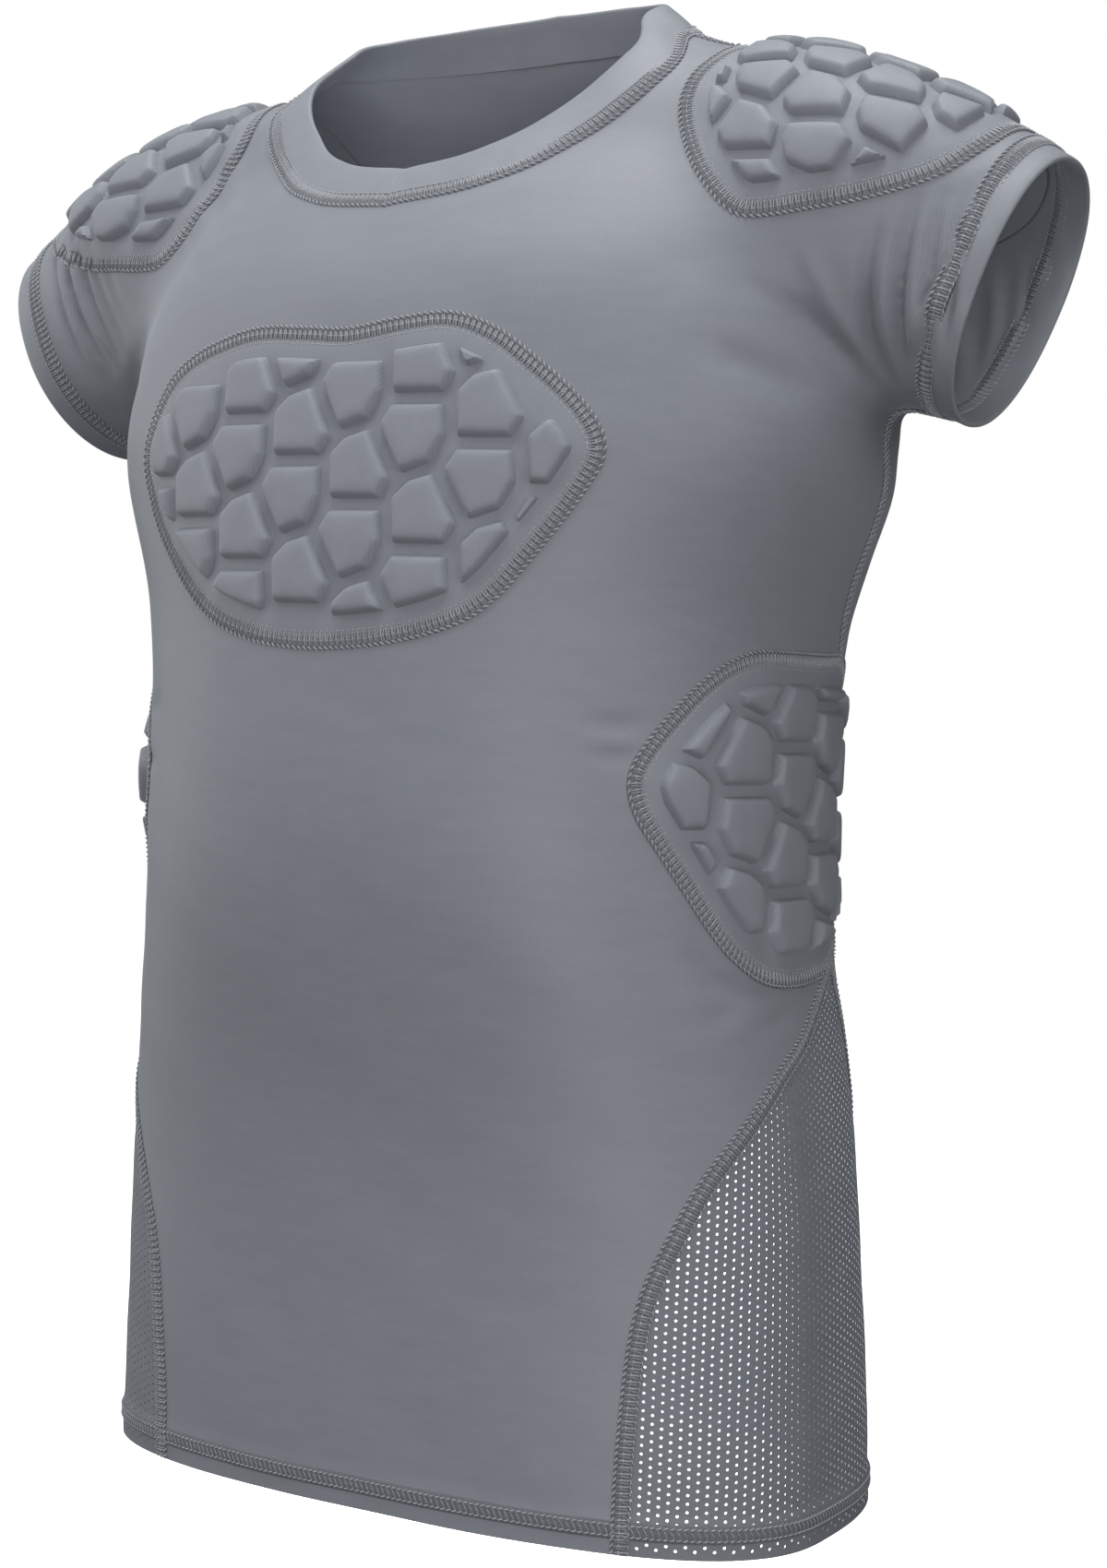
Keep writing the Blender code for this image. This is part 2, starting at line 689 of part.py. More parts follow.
def cells_in(outline, lay):
    """The flat cells of a pad: the shapes of the pattern, cut off at the pad's border."""
    if area_of(outline) < 0:
        outline = outline[::-1]
    border = shrunk_loop(outline, CELL_BORDER)
    origin, across, up = (np.array(part) for part in lay)
    cells = []
    for column in range(-CELL_COUNT, CELL_COUNT + 1):
        for row in range(-CELL_COUNT, CELL_COUNT + 1):
            corner = column * np.array(CELL_ACROSS) + row * np.array(CELL_DOWN)
            for shape in (UPPER_CELL, LOWER_CELL):
                drawn = (np.array(shape) + corner) / 1000
                cell = origin + drawn[:, :1] * across + drawn[:, 1:] * up
                base = tidied(kept_inside(border, cell if area_of(cell) > 0 else cell[::-1]))
                if len(base) > 2 and area_of(base) > CELL_LEAST_AREA:
                    cells.append(base)
    return cells


def kept_inside(shape, cell):
    """What of a flat shape lies inside a convex cell that is listed anticlockwise."""
    for i, start in enumerate(cell):
        run = cell[(i + 1) % len(cell)] - start
        if len(shape) > 2:
            shape = clipped(shape, start, np.array((run[1], -run[0])) / np.linalg.norm(run))
    return shape


def shrunk_loop(outline, distance):
    """A flat loop moved in by a distance, corner by corner."""
    ahead = np.roll(outline, -1, axis=0) - outline
    ahead = ahead / np.linalg.norm(ahead, axis=1, keepdims=True)
    inwards = np.stack([-ahead[:, 1], ahead[:, 0]], -1)
    both = inwards + np.roll(inwards, 1, axis=0)
    both = both / np.linalg.norm(both, axis=1, keepdims=True)
    return outline + both * distance


def pad_panel(name, outline, place, lay, side):
    """A pad with raised cells. Its outline is flat, and place lays it on the form."""
    loop = place(outline)
    if area_of(outline) * np.sign(facing(outline, place)) < 0:
        loop = loop[::-1]
        outline = outline[::-1]
    edge = drawn_in(loop, SEAM_GAP / 2)
    rings, raised = [outline], [np.zeros(len(outline))]
    for base in cells_in(outline, lay):
        top = tidied(shrunk(base, CELL_BEVEL))
        if len(top) > 2:
            rings += [base, top]
            raised += [np.zeros(len(base)), np.ones(len(top))]
    flat = np.vstack(rings)
    rise = np.concatenate(raised) * CELL_RISE
    points = place(flat)
    points[: len(edge)] = edge
    faces = triangles_of(flat, rings)
    faces = faces[in_loop(flat[faces].mean(axis=1), outline)]
    normal = normals_at(points)
    outer = points + normal * rise[:, None]
    inner = points - normal * PAD_BASE
    mirror = np.array((side, 1.0, 1.0))
    return finish_mesh(name, outer * mirror, inner * mirror, faces, PAD_COLOUR)


def facing(outline, place):
    """Positive when a flat drawing keeps its handedness on the outside of the form."""
    middle = outline.mean(axis=0)
    corner = place(np.array((middle, middle + (TURN_CHECK, 0), middle + (0, TURN_CHECK))))
    up = np.cross(corner[1] - corner[0], corner[2] - corner[0])
    return up @ normals_at(corner[:1])[0]


def tube(name, outer_rings, inner_rings, colour, side=1.0):
    """A closed band of cloth from its rings, inside and out."""
    count = len(outer_rings[0])
    faces = []
    for row in range(len(outer_rings) - 1):
        for i in range(count):
            a, b = row * count + i, row * count + (i + 1) % count
            faces += [(a, b, a + count), (b, b + count, a + count)]
    mirror = np.array((side, 1.0, 1.0))
    outer = np.vstack(outer_rings) * mirror
    inner = np.vstack(inner_rings) * mirror
    return finish_mesh(name, outer, inner, np.array(faces), colour)


for old in list(bpy.data.objects):
    bpy.data.objects.remove(old)
shirt = bpy.data.collections.new("padded_compression_shirt")
bpy.context.scene.collection.children.link(shirt)

# Pad outlines and the loops that the body's panels share with them
chest_flat = smooth_line(CHEST_OUTLINE, PART_STEP, closed=True)[0]
rib_rows = np.array(RIB_OUTLINE)
rib_flat, rib_knots = smooth_line(rib_rows[:, :2], PART_STEP, closed=True)
rib_top = rib_knots[int(np.argmax(rib_rows[:, 2] == 1))]
rib_foot = rib_knots[int(np.argmax(rib_rows[:, 2] == 2))]
half = np.array(SHOULDER_OUTLINE)
shoulder_rows = np.vstack([half, (half * (1, -1))[-2:0:-1]])
shoulder_flat, shoulder_knots = smooth_line(shoulder_rows, PART_STEP, closed=True)
shoulder_end = shoulder_knots[len(half) - 1]

chest_loop = chest_place(chest_flat)
rib_loop = rib_place(rib_flat)
shoulder_loop = shoulder_place(shoulder_flat)
rib_front = rib_loop[rib_top : rib_foot + 1]
rib_back = np.vstack([rib_loop[rib_foot:], rib_loop[: rib_top + 1]])
shoulder_front = shoulder_loop[: shoulder_end + 1]
shoulder_back = np.vstack([shoulder_loop[shoulder_end:], shoulder_loop[:1]])

# Seams of the left side
cuff_seam = cuff_loop(CUFF_SEAM)
cuff_front = cuff_seam[: CUFF_POINTS // 2 + 1]
cuff_back = np.vstack([cuff_seam[CUFF_POINTS // 2 :], cuff_seam[:1]])
collar_seam, collar_rise = collar_loop()
neck_corner = round(SHOULDER_SEAM_TURN / 360 * LOOP_POINTS)
neck_seam = seam_on_form((), collar_seam[neck_corner], shoulder_loop[0])
cap_seam = seam_on_form((), shoulder_loop[shoulder_end], cuff_front[0])
side_seam = seam_on_form(SIDE_SEAM, cuff_front[-1], rib_front[0])
mesh_front = seam_on_form(MESH_FRONT, first=rib_front[-1])
mesh_back = seam_on_form(MESH_BACK, first=rib_front[-1])


def hem_line(start, end):
    """Points of the hem between two turns, in degrees."""
    ends = ((start, HEM_LEVEL), (end, HEM_LEVEL))
    return seam_on_form(ends)


hem_front = hem_line(MESH_FRONT[-1][0], 0)
hem_side = hem_line(MESH_FRONT[-1][0], MESH_BACK[-1][0])
hem_back = hem_line(MESH_BACK[-1][0], 180)

# Front: down its left side, along the hem to the middle, up the right side and round the neck
down = (neck_seam, shoulder_front, cap_seam, cuff_front, side_seam, rib_front, mesh_front, hem_front)
half_loop = np.vstack([line[:-1] for line in down])
collar_front = np.vstack([collar_seam[LOOP_POINTS - neck_corner + 1 :], collar_seam[:neck_corner]])
front_loop = np.vstack([half_loop, hem_front[-1:], mirrored(half_loop), collar_front])
cloth_panel("front", [front_loop[::-1], chest_loop], 0.0, BODY_STEP, BODY_COLOUR)

# Back: the same way round by the other halves of the same seams
down = (
    neck_seam,
    shoulder_back[::-1],
    cap_seam,
    cuff_back[::-1],
    side_seam,
    rib_back[::-1],
    mesh_back,
    hem_back,
)
half_loop = np.vstack([line[:-1] for line in down])
collar_back = collar_seam[neck_corner + 1 : LOOP_POINTS - neck_corner][::-1]
back_loop = np.vstack([half_loop, hem_back[-1:], mirrored(half_loop), collar_back])
cloth_panel("back", [back_loop], np.pi, BODY_STEP, BODY_COLOUR)

# The pieces of each side: built on the left and mirrored to the right
mesh_loop = np.vstack([mesh_front[:-1], hem_side[:-1], mesh_back[:0:-1]])
for side_name, side in (("left", 1.0), ("right", -1.0)):
    cloth_panel("mesh_" + side_name, [mesh_loop], np.pi / 2, NET_STEP, NET_COLOUR, side)
    pad_panel("rib_pad_" + side_name, rib_flat, rib_place, RIB_CELLS, side)
    pad_panel("shoulder_pad_" + side_name, shoulder_flat, shoulder_place, SHOULDER_CELLS, side)
    distances = np.linspace(CUFF_SEAM + SEAM_GAP / 2, CUFF_EDGE, 3)
    rings = [cuff_loop(distance) for distance in distances]
    inside = [ring - normals_at(ring) * BAND for ring in rings]
    tube("cuff_" + side_name, rings, inside, BAND_COLOUR, side)
pad_panel("chest_pad", chest_flat, chest_place, CHEST_CELLS, 1.0)

# Collar: a band that stands on the neck seam and leans in
heights = np.linspace(SEAM_GAP, COLLAR_HEIGHT, 3)
rings = [collar_seam + collar_rise * height for height in heights]
ahead = np.roll(collar_seam, -1, axis=0) - np.roll(collar_seam, 1, axis=0)
outwards = np.cross(ahead, collar_rise)
outwards = outwards / np.linalg.norm(outwards, axis=1, keepdims=True)
tube("collar", rings, [ring - outwards * BAND for ring in rings], BAND_COLOUR)
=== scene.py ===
import bmesh
import bpy
import numpy as np
from mathutils import Matrix, Vector
from mathutils.geometry import delaunay_2d_cdt
from mathutils.kdtree import KDTree


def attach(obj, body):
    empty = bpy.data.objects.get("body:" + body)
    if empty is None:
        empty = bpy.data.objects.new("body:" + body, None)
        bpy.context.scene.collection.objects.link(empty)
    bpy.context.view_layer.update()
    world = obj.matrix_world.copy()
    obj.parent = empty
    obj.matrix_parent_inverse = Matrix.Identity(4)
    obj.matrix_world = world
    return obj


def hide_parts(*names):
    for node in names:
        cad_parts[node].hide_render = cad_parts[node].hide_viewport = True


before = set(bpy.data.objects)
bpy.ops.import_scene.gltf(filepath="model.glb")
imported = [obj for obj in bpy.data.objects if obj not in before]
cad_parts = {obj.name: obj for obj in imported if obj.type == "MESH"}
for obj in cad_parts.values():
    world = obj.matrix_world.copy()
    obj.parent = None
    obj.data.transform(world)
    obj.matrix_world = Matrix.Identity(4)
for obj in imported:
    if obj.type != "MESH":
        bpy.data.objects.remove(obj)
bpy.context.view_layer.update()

# Sizes of the shirt, in metres, as in the CAD
CLOTH = 0.0012
PAD_BASE = 0.0020
BAND = 0.0020
EDGE_ROUND = 0.0010
EDGE_DROP = 0.0003
SEAM_GAP = 0.0003
HEM_LEVEL = -0.540

# height, half_width, front_depth, back_depth, squareness
TORSO = (
    (-0.560, 0.1505, 0.0680, 0.118, 2.7),
    (-0.540, 0.1500, 0.0700, 0.117, 2.7),
    (-0.405, 0.1430, 0.0815, 0.100, 2.7),
    (-0.297, 0.1285, 0.1065, 0.100, 2.6),
    (-0.216, 0.1310, 0.1090, 0.118, 2.5),
    (-0.146, 0.1520, 0.1050, 0.118, 2.4),
    (-0.090, 0.1400, 0.0940, 0.105, 2.3),
    (-0.070, 0.1360, 0.0820, 0.097, 2.2),
    (-0.050, 0.1310, 0.0660, 0.086, 2.2),
    (-0.025, 0.1155, 0.0540, 0.070, 2.1),
    (0.000, 0.0800, 0.0360, 0.044, 2.0),
    (0.030, 0.0600, 0.0300, 0.036, 2.0),
)

# distance out from the shoulder joint, half_height, half_depth
SLEEVE = (
    (-0.0800, 0.0200, 0.0200),
    (-0.0400, 0.0440, 0.0460),
    (0.0000, 0.0500, 0.0580),
    (0.0545, 0.0495, 0.0480),
    (0.0715, 0.0480, 0.0465),
    (0.1300, 0.0460, 0.0440),
)
SLEEVE_SQUARENESS = 2.2
SHOULDER_JOINT = (0.142, 0.006, -0.069)
SLEEVE_DROP = 28.0
ARMPIT_BLEND = 0.024
CUFF_SEAM = 0.0600
CUFF_EDGE = 0.0715
CUFF_LEAN = -6.0
CUFF_TURN = -4.0

# level, side_height, side_pitch, front_height, front_pitch, reach
LEVELS = (
    (-0.560, -0.560, 0.0, -0.560, 0.0, 0.070),
    (-0.400, -0.400, 0.0, -0.400, 0.0, 0.070),
    (-0.260, -0.260, 0.0, -0.260, 0.0, 0.075),
    (-0.200, -0.175, -14.0, -0.200, 0.0, 0.090),
    (-0.150, -0.120, -34.0, -0.150, 0.0, 0.100),
    (-0.100, -0.110, -8.0, -0.110, 0.0, 0.100),
    (-0.050, -0.110, 18.0, -0.110, 22.0, 0.100),
    (0.000, -0.110, 42.0, -0.110, 42.0, 0.095),
    (0.040, -0.110, 62.0, -0.110, 62.0, 0.085),
    (0.090, -0.110, 84.0, -0.110, 84.0, 0.060),
)

# Pad outlines, laid flat on the cloth: across, up
CHEST_OUTLINE = (
    (0.0000, -0.1220),
    (0.0220, -0.1195),
    (0.0420, -0.1185),
    (0.0590, -0.1245),
    (0.0730, -0.1345),
    (0.0860, -0.1455),
    (0.0945, -0.1560),
    (0.0965, -0.1645),
    (0.0920, -0.1735),
    (0.0830, -0.1865),
    (0.0720, -0.2000),
    (0.0635, -0.2100),
    (0.0530, -0.2180),
    (0.0380, -0.2235),
    (0.0200, -0.2270),
    (-0.0040, -0.2285),
    (-0.0260, -0.2270),
    (-0.0460, -0.2220),
    (-0.0600, -0.2150),
    (-0.0750, -0.2030),
    (-0.0900, -0.1870),
    (-0.0985, -0.1725),
    (-0.1035, -0.1590),
    (-0.0980, -0.1440),
    (-0.0890, -0.1330),
    (-0.0760, -0.1260),
    (-0.0600, -0.1215),
    (-0.0420, -0.1190),
    (-0.0200, -0.1205),
)
# across from the side line, up, seam (1 where the side seam meets it, 2 where the net does)
RIB_OUTLINE = (
    (0.0400, -0.2275, 1),
    (0.0180, -0.2285, 0),
    (-0.0060, -0.2290, 0),
    (-0.0300, -0.2300, 0),
    (-0.0440, -0.2340, 0),
    (-0.0550, -0.2405, 0),
    (-0.0650, -0.2495, 0),
    (-0.0750, -0.2610, 0),
    (-0.0810, -0.2720, 0),
    (-0.0790, -0.2830, 0),
    (-0.0700, -0.2960, 0),
    (-0.0600, -0.3090, 0),
    (-0.0500, -0.3215, 0),
    (-0.0390, -0.3320, 0),
    (-0.0240, -0.3400, 0),
    (-0.0050, -0.3420, 0),
    (0.0130, -0.3405, 0),
    (0.0300, -0.3365, 2),
    (0.0460, -0.3270, 0),
    (0.0600, -0.3110, 0),
    (0.0710, -0.2920, 0),
    (0.0760, -0.2730, 0),
    (0.0740, -0.2550, 0),
    (0.0660, -0.2400, 0),
    (0.0540, -0.2310, 0),
)
# along the sleeve from the shoulder joint, round it from its top; its back half is the same
SHOULDER_OUTLINE = (
    (-0.0600, 0.0000),
    (-0.0620, 0.0250),
    (-0.0605, 0.0460),
    (-0.0580, 0.0665),
    (-0.0510, 0.0810),
    (-0.0370, 0.0925),
    (-0.0210, 0.0995),
    (-0.0100, 0.1015),
    (-0.0010, 0.0975),
    (0.0095, 0.0905),
    (0.0235, 0.0805),
    (0.0360, 0.0670),
    (0.0435, 0.0535),
    (0.0470, 0.0350),
    (0.0460, 0.0180),
    (0.0445, 0.0000),
)
# turn from the front of the neck, seam_height, lean
COLLAR = (
    (0.0, -0.0710, 38.0),
    (32.0, -0.0655, 38.0),
    (51.0, -0.0560, 40.0),
    (64.0, -0.0445, 45.0),
    (80.0, -0.0230, 54.0),
    (97.0, -0.0030, 58.0),
    (115.0, 0.0035, 47.0),
    (140.0, 0.0070, 32.0),
    (180.0, 0.0090, 23.0),
)
NECK_CENTRE = -0.022
COLLAR_HEIGHT = 0.018
SHOULDER_SEAM_TURN = 101.25

# Seams of the side: turn, level
SIDE_SEAM = ((114.0, -0.152), (118.5, -0.176), (121.0, -0.205))
MESH_FRONT = (
    (89.0, -0.3610),
    (71.0, -0.3765),
    (55.7, -0.4035),
    (47.7, -0.4320),
    (43.4, -0.4600),
    (41.8, -0.5050),
    (41.7, HEM_LEVEL),
)
MESH_BACK = (
    (120.0, -0.3560),
    (126.0, -0.3780),
    (131.0, -0.4050),
    (135.0, -0.4320),
    (137.5, -0.4600),
    (139.5, -0.5050),
    (140.0, HEM_LEVEL),
)

# Folds of the cloth, in millimetres: where each starts, bends and ends, its half width and
# how far it sinks the cloth, or raises it where the number is negative
LEFT_FOLDS = (
    ((160, -16, -136), (152, -34, -122), (134, -52, -106), 4.6, 3.2),
    ((160, -24, -128), (156, -38, -114), (148, -49, -93), 3.6, -1.2),
    ((168, -18, -132), (166, -36, -117), (172, -45, -88), 3.2, 3.6),
    ((172, -28, -126), (173, -41, -107), (179, -45, -83), 2.6, -1.3),
    ((176, -20, -133), (178, -38, -113), (186, -43, -78), 3.0, 3.8),
    ((181, -30, -126), (184, -41, -106), (191, -42, -78), 2.5, -1.2),
    ((185, -24, -132), (189, -39, -112), (195, -40, -76), 2.7, 3.3),
    ((190, -32, -125), (193, -41, -104), (198, -40, -75), 2.4, -1.0),
    ((194, -30, -126), (197, -40, -108), (201, -38, -74), 2.6, 2.7),
    ((200, -36, -114), (203, -40, -96), (206, -35, -70), 2.4, 1.8),
    ((206, -38, -90), (208, -36, -78), (209, -30, -65), 2.8, 0.8),
    ((147, -36, -140), (137, -53, -133), (124, -68, -128), 5.6, 3.0),
    ((140, -49, -118), (128, -62, -112), (112, -76, -108), 9.0, -1.1),
    ((169, 16, -140), (158, 44, -130), (138, 64, -116), 5.5, 2.4),
    ((174, 24, -134), (168, 46, -116), (157, 60, -94), 4.4, 2.4),
    ((177, 30, -130), (178, 50, -106), (174, 56, -82), 3.8, 2.3),
    ((182, 34, -128), (186, 48, -106), (186, 52, -80), 3.5, 2.0),
    ((188, 38, -122), (194, 46, -100), (195, 47, -78), 3.2, 1.6),
    ((196, 44, -106), (201, 44, -88), (202, 42, -72), 3.0, 1.1),
    ((150, 40, -150), (134, 66, -152), (112, 88, -158), 8.0, 1.4),
    ((105, -75, -255), (100, -80, -255), (91, -89, -254), 2.8, 1.0),
    ((104, -77, -260), (99, -82, -260), (92, -89, -259), 2.6, -0.6),
    ((104, -77, -265), (99, -82, -265), (91, -89, -264), 2.8, 0.8),
    ((118, -58, -331), (128, -42, -345), (134, -14, -349), 4.5, 1.5),
    ((135, -6, -353), (134, -20, -356), (132, -33, -359), 3.4, 1.0),
    ((129, -41, -352), (127, -47, -353), (121, -56, -355), 3.6, 0.8),
    ((98, 74, -250), (90, 82, -252), (80, 90, -255), 3.0, 0.9),
    ((106, 68, -318), (98, 78, -326), (86, 86, -332), 4.0, 1.1),
    ((135, 45, -187), (130, 50, -200), (122, 56, -214), 5.5, 0.9),
    ((110, -20, -4), (113, -32, -18), (110, -46, -36), 5.0, 0.9),
)
RIGHT_FOLDS = (
    ((-198, -36, -64), (-190, -42, -84), (-174, -34, -118), 2.7, 2.7),
    ((-193, -38, -65), (-185, -44, -85), (-170, -36, -116), 2.6, -0.9),
    ((-188, -41, -66), (-180, -45, -86), (-165, -38, -116), 2.7, 3.2),
    ((-182, -43, -67), (-175, -46, -86), (-162, -40, -113), 2.6, -0.9),
    ((-175, -46, -68), (-170, -48, -86), (-158, -41, -112), 2.8, 3.1),
    ((-165, -49, -70), (-162, -49, -86), (-152, -45, -104), 3.0, 2.4),
    ((-155, -52, -73), (-154, -50, -85), (-146, -49, -98), 3.6, 1.2),
    ((-160, -16, -136), (-152, -34, -122), (-134, -52, -106), 4.6, 3.0),
    ((-150, -38, -140), (-138, -53, -132), (-122, -68, -126), 7.0, 1.2),
    ((-106, -22, -20), (-96, -46, -43), (-79, -75, -76), 6.5, -1.3),
    ((-90, -38, -28), (-90, -48, -44), (-82, -63, -62), 5.0, 1.3),
    ((-110, -46, -50), (-102, -58, -67), (-87, -73, -80), 6.0, -0.9),
    ((-102, -48, -50), (-95, -60, -62), (-84, -72, -76), 5.0, 0.8),
    ((-169, 18, -140), (-160, 46, -128), (-142, 62, -112), 5.5, 2.3),
    ((-174, 26, -134), (-172, 48, -112), (-164, 58, -88), 4.2, 2.4),
    ((-180, 32, -130), (-184, 50, -106), (-182, 54, -80), 3.6, 2.1),
    ((-187, 36, -124), (-193, 47, -102), (-194, 48, -78), 3.2, 1.6),
    ((-196, 42, -108), (-202, 43, -88), (-203, 42, -70), 3.0, 0.9),
    ((-146, 44, -148), (-130, 68, -148), (-106, 90, -150), 8.0, 1.2),
    ((-104, -76, -252), (-99, -81, -252), (-90, -90, -250), 3.0, 0.9),
    ((-105, -75, -270), (-100, -80, -272), (-94, -86, -274), 3.0, 0.8),
    ((-120, -55, -333), (-128, -42, -344), (-134, -16, -349), 4.5, 1.3),
    ((-133, -22, -356), (-130, -38, -358), (-124, -50, -361), 3.4, 1.0),
    ((-98, 74, -258), (-90, 82, -261), (-80, 90, -266), 3.0, 1.0),
    ((-104, 70, -322), (-96, 79, -330), (-82, 88, -334), 4.0, 1.0),
    ((-112, -18, -6), (-113, -30, -16), (-112, -40, -30), 5.0, 0.8),
)
BACK_FOLDS = (
    ((60, 97, -60), (30, 103, -78), (-6, 105, -88), 11.0, 0.9),
    ((-64, 96, -66), (-34, 103, -88), (0, 108, -104), 12.0, 0.8),
    ((72, 92, -268), (34, 97, -282), (-20, 100, -286), 9.0, 1.1),
    ((-76, 92, -290), (-30, 99, -302), (24, 100, -300), 8.0, 1.0),
    ((64, 97, -312), (20, 101, -322), (-34, 100, -320), 8.0, 0.8),
    ((-60, 100, -344), (-10, 103, -352), (46, 101, -346), 11.0, 0.7),
)

# Slow waves of the cloth: height, and two sines' turns for each metre across, back and up,
# and their starts
WAVES = (
    (0.00030, (47, 0, 31, 1.0), (0, -23, 39, 0.4)),
    (0.00018, (88, -61, 70, 0.0), (12, 0, 95, 2.0)),
)

# Cells of the pads: two shapes side by side in a pattern, in millimetres from one's corner
# across, up
UPPER_CELL = ((0.0, 0.0), (19.7, -0.5), (24.1, 6.4), (14.2, 23.7), (5.1, 21.4), (-1.0, 15.8))
LOWER_CELL = ((5.6, -28.1), (16.6, -24.5), (21.8, -15.6), (20.6, -4.4), (0.3, -3.9), (-4.2, -11.2))
CELL_ACROSS = (26.1, -15.9)
CELL_DOWN = (3.6, -51.9)
CELL_COUNT = 9
# Where the pattern lies on each pad: its corner, its way across and its way up
CHEST_CELLS = ((-0.0006, -0.1792), (1.0, 0.0), (0.0, 1.0))
RIB_CELLS = ((-0.0225, -0.2735), (-1.22, 0.0), (0.0, 1.0))
SHOULDER_CELLS = ((-0.0220, 0.0635), (0.0, -0.79), (-1.0, 0.0))
CELL_BORDER = 0.0084
CELL_LEAST_AREA = 18e-6
CELL_LEAST_SIDE = 0.0009
# distance in from a cell's foot, share of its height
CELL_PROFILE = (
    (0.0000, 0.00),
    (0.0006, 0.44),
    (0.0013, 0.77),
    (0.0020, 0.89),
    (0.0032, 0.955),
    (0.0052, 0.99),
    (0.0075, 1.00),
)
CELL_CORNER = 0.0006
CELL_RISE = 0.0040
PAD_SWELL = 0.0008
SWELL_WIDTH = 0.0065
# Points on a cell's flat top: their step, and how far they stay from its last ring
SPOT_STEP = 0.0026
SPOT_MARGIN = 0.0012
BORDER_ROWS = (0.0020, 0.0042, 0.0064)
RING_LEAST_AREA = 2e-6
RING_LEAST_POINTS = 6
ROUND_LEAST_SIDE = 0.00022
# Shares of a side that each of two passes cuts off at its corners
ROUND_SHARES = (0.22, 0.25)

# Mesh sizes
LINE_STEP = 0.0030
BODY_STEP = 0.0031
SLEEVE_STEP = 0.0019
SLEEVE_START = -0.012
SLEEVE_NEAR = 0.004
PAD_STEP = 0.0019
LOOP_POINTS = 192
CUFF_POINTS = 144
CHART_RADIUS = 0.13
RAY_REACH = 0.32
RAY_STEPS = 40
HALVINGS = 22
LEAST_HEIGHT = 0.00008
SAME_POINT = 1e-7
TINY = 1e-12
TINY_SIDE = 1e-6
SHARPEST_TURN = 0.25
SLOPE_STEP = 0.0015
TURN_CHECK = 0.002
TURN_SHARE = 0.35
TURN_STEPS = 40
LEVEL_STEPS = 32
CUFF_STEPS = 6
TAPE_POINTS = 240
RING_POINTS = 181
# Half of the chart that a panel may take up, in radians
CHART_HALF = 0.62 * np.pi
# Shares of a grid's step: between its rows, between two grids, and between a grid and a seam
ROW_SHARE = 0.87
LEVEL_SHARE = 0.85
GRID_SHARE = 0.6
SEAM_SHARE = 0.55
# How a row's distance from the next is measured, and the limits of the change that it may ask
RISE_SHARE = 0.25
RISE_EVERY = 6
LEAST_RISE = 1e-5
RISE_LIMITS = (0.3, 1.2)
# A row round the form: the longest side that counts, in steps, and its fewest points
JUMP_STEPS = 4
LEAST_IN_ROW = 8
# Angles beyond which an edge stays sharp, in degrees
PANEL_SHARP = 40
BAND_SHARP = 60

# Net: eyelets in columns, each column half a step off the last
EYELET_COLUMN = 0.0033
EYELET_PITCH = 0.0030
EYELET_RADIUS = 0.00062
EYELET_SIDES = 6
EYELET_MARGIN = 0.0024
NET_LEVEL = -0.46
NET_CLOTH = 0.0006

# Flatlock seams
STITCH_PITCH = 0.0023
BAND_HALF = 0.0034
THREAD_SIDES = 4
THREAD_TAPER = (0.75, 1.0, 0.75)
AHEAD_SHARE = 0.4
HEM_STITCHES = 0.0090
COLLAR_FULLNESS = 0.0006
# The hem's turned edge: how far up it reaches, how far it lifts the cloth, and over what height
HEM_TURN_UP = 0.0145
HEM_LIFT = 0.0004
HEM_EASE = 0.0015
# Folds: points of a line, passes that lay it on the form, reach in half widths, how it fades
FOLD_POINTS = 11
FOLD_STEPS = 4
FOLD_REACH = 3
FADE_START = 0.06
FADE_POWER = 0.8

# Camera, worked out from the photograph's perspective
CAMERA_TURN = 30.62
CAMERA_RISE = 0.55
CAMERA_ROLL = 1.93
CAMERA_DISTANCE = 0.9732
CAMERA_LENS = 58.26
CAMERA_ACROSS = 0.0242
CAMERA_UP = -0.2764
CAMERA_SENSOR = 36.0
FLOOR_LEVEL = -0.60
FLOOR_RADIUS = 4.0
# The middle of the shirt, which the lamps face
LIT_POINT = (0.0, 0.0, -0.25)
# name, place, size, power
LIGHTS = (
    ("key", (-1.00, -1.10, 0.90), 0.8, 8.0),
    ("top", (0.10, 0.10, 1.60), 1.0, 16.0),
    ("top_front", (0.20, -0.60, 1.60), 0.8, 17.0),
    ("low_front", (0.45, -1.20, -0.75), 0.8, 20.0),
    ("right", (1.60, -0.70, 0.20), 1.0, 9.5),
    ("left", (-1.50, -0.40, -0.10), 1.2, 8.0),
)
# A lamp inside, between the walls, that faces the back: place, width, height, power
INSIDE_LAMP = ((0.0, -0.02, -0.450), 0.21, 0.18, 1.9)
WORLD_POWER = 0.08

DROP = np.radians(SLEEVE_DROP)
SLEEVE_OUT = np.array((np.cos(DROP), 0.0, -np.sin(DROP)))
SLEEVE_UP = np.array((np.sin(DROP), 0.0, np.cos(DROP)))
FORWARD = np.array((0.0, -1.0, 0.0))


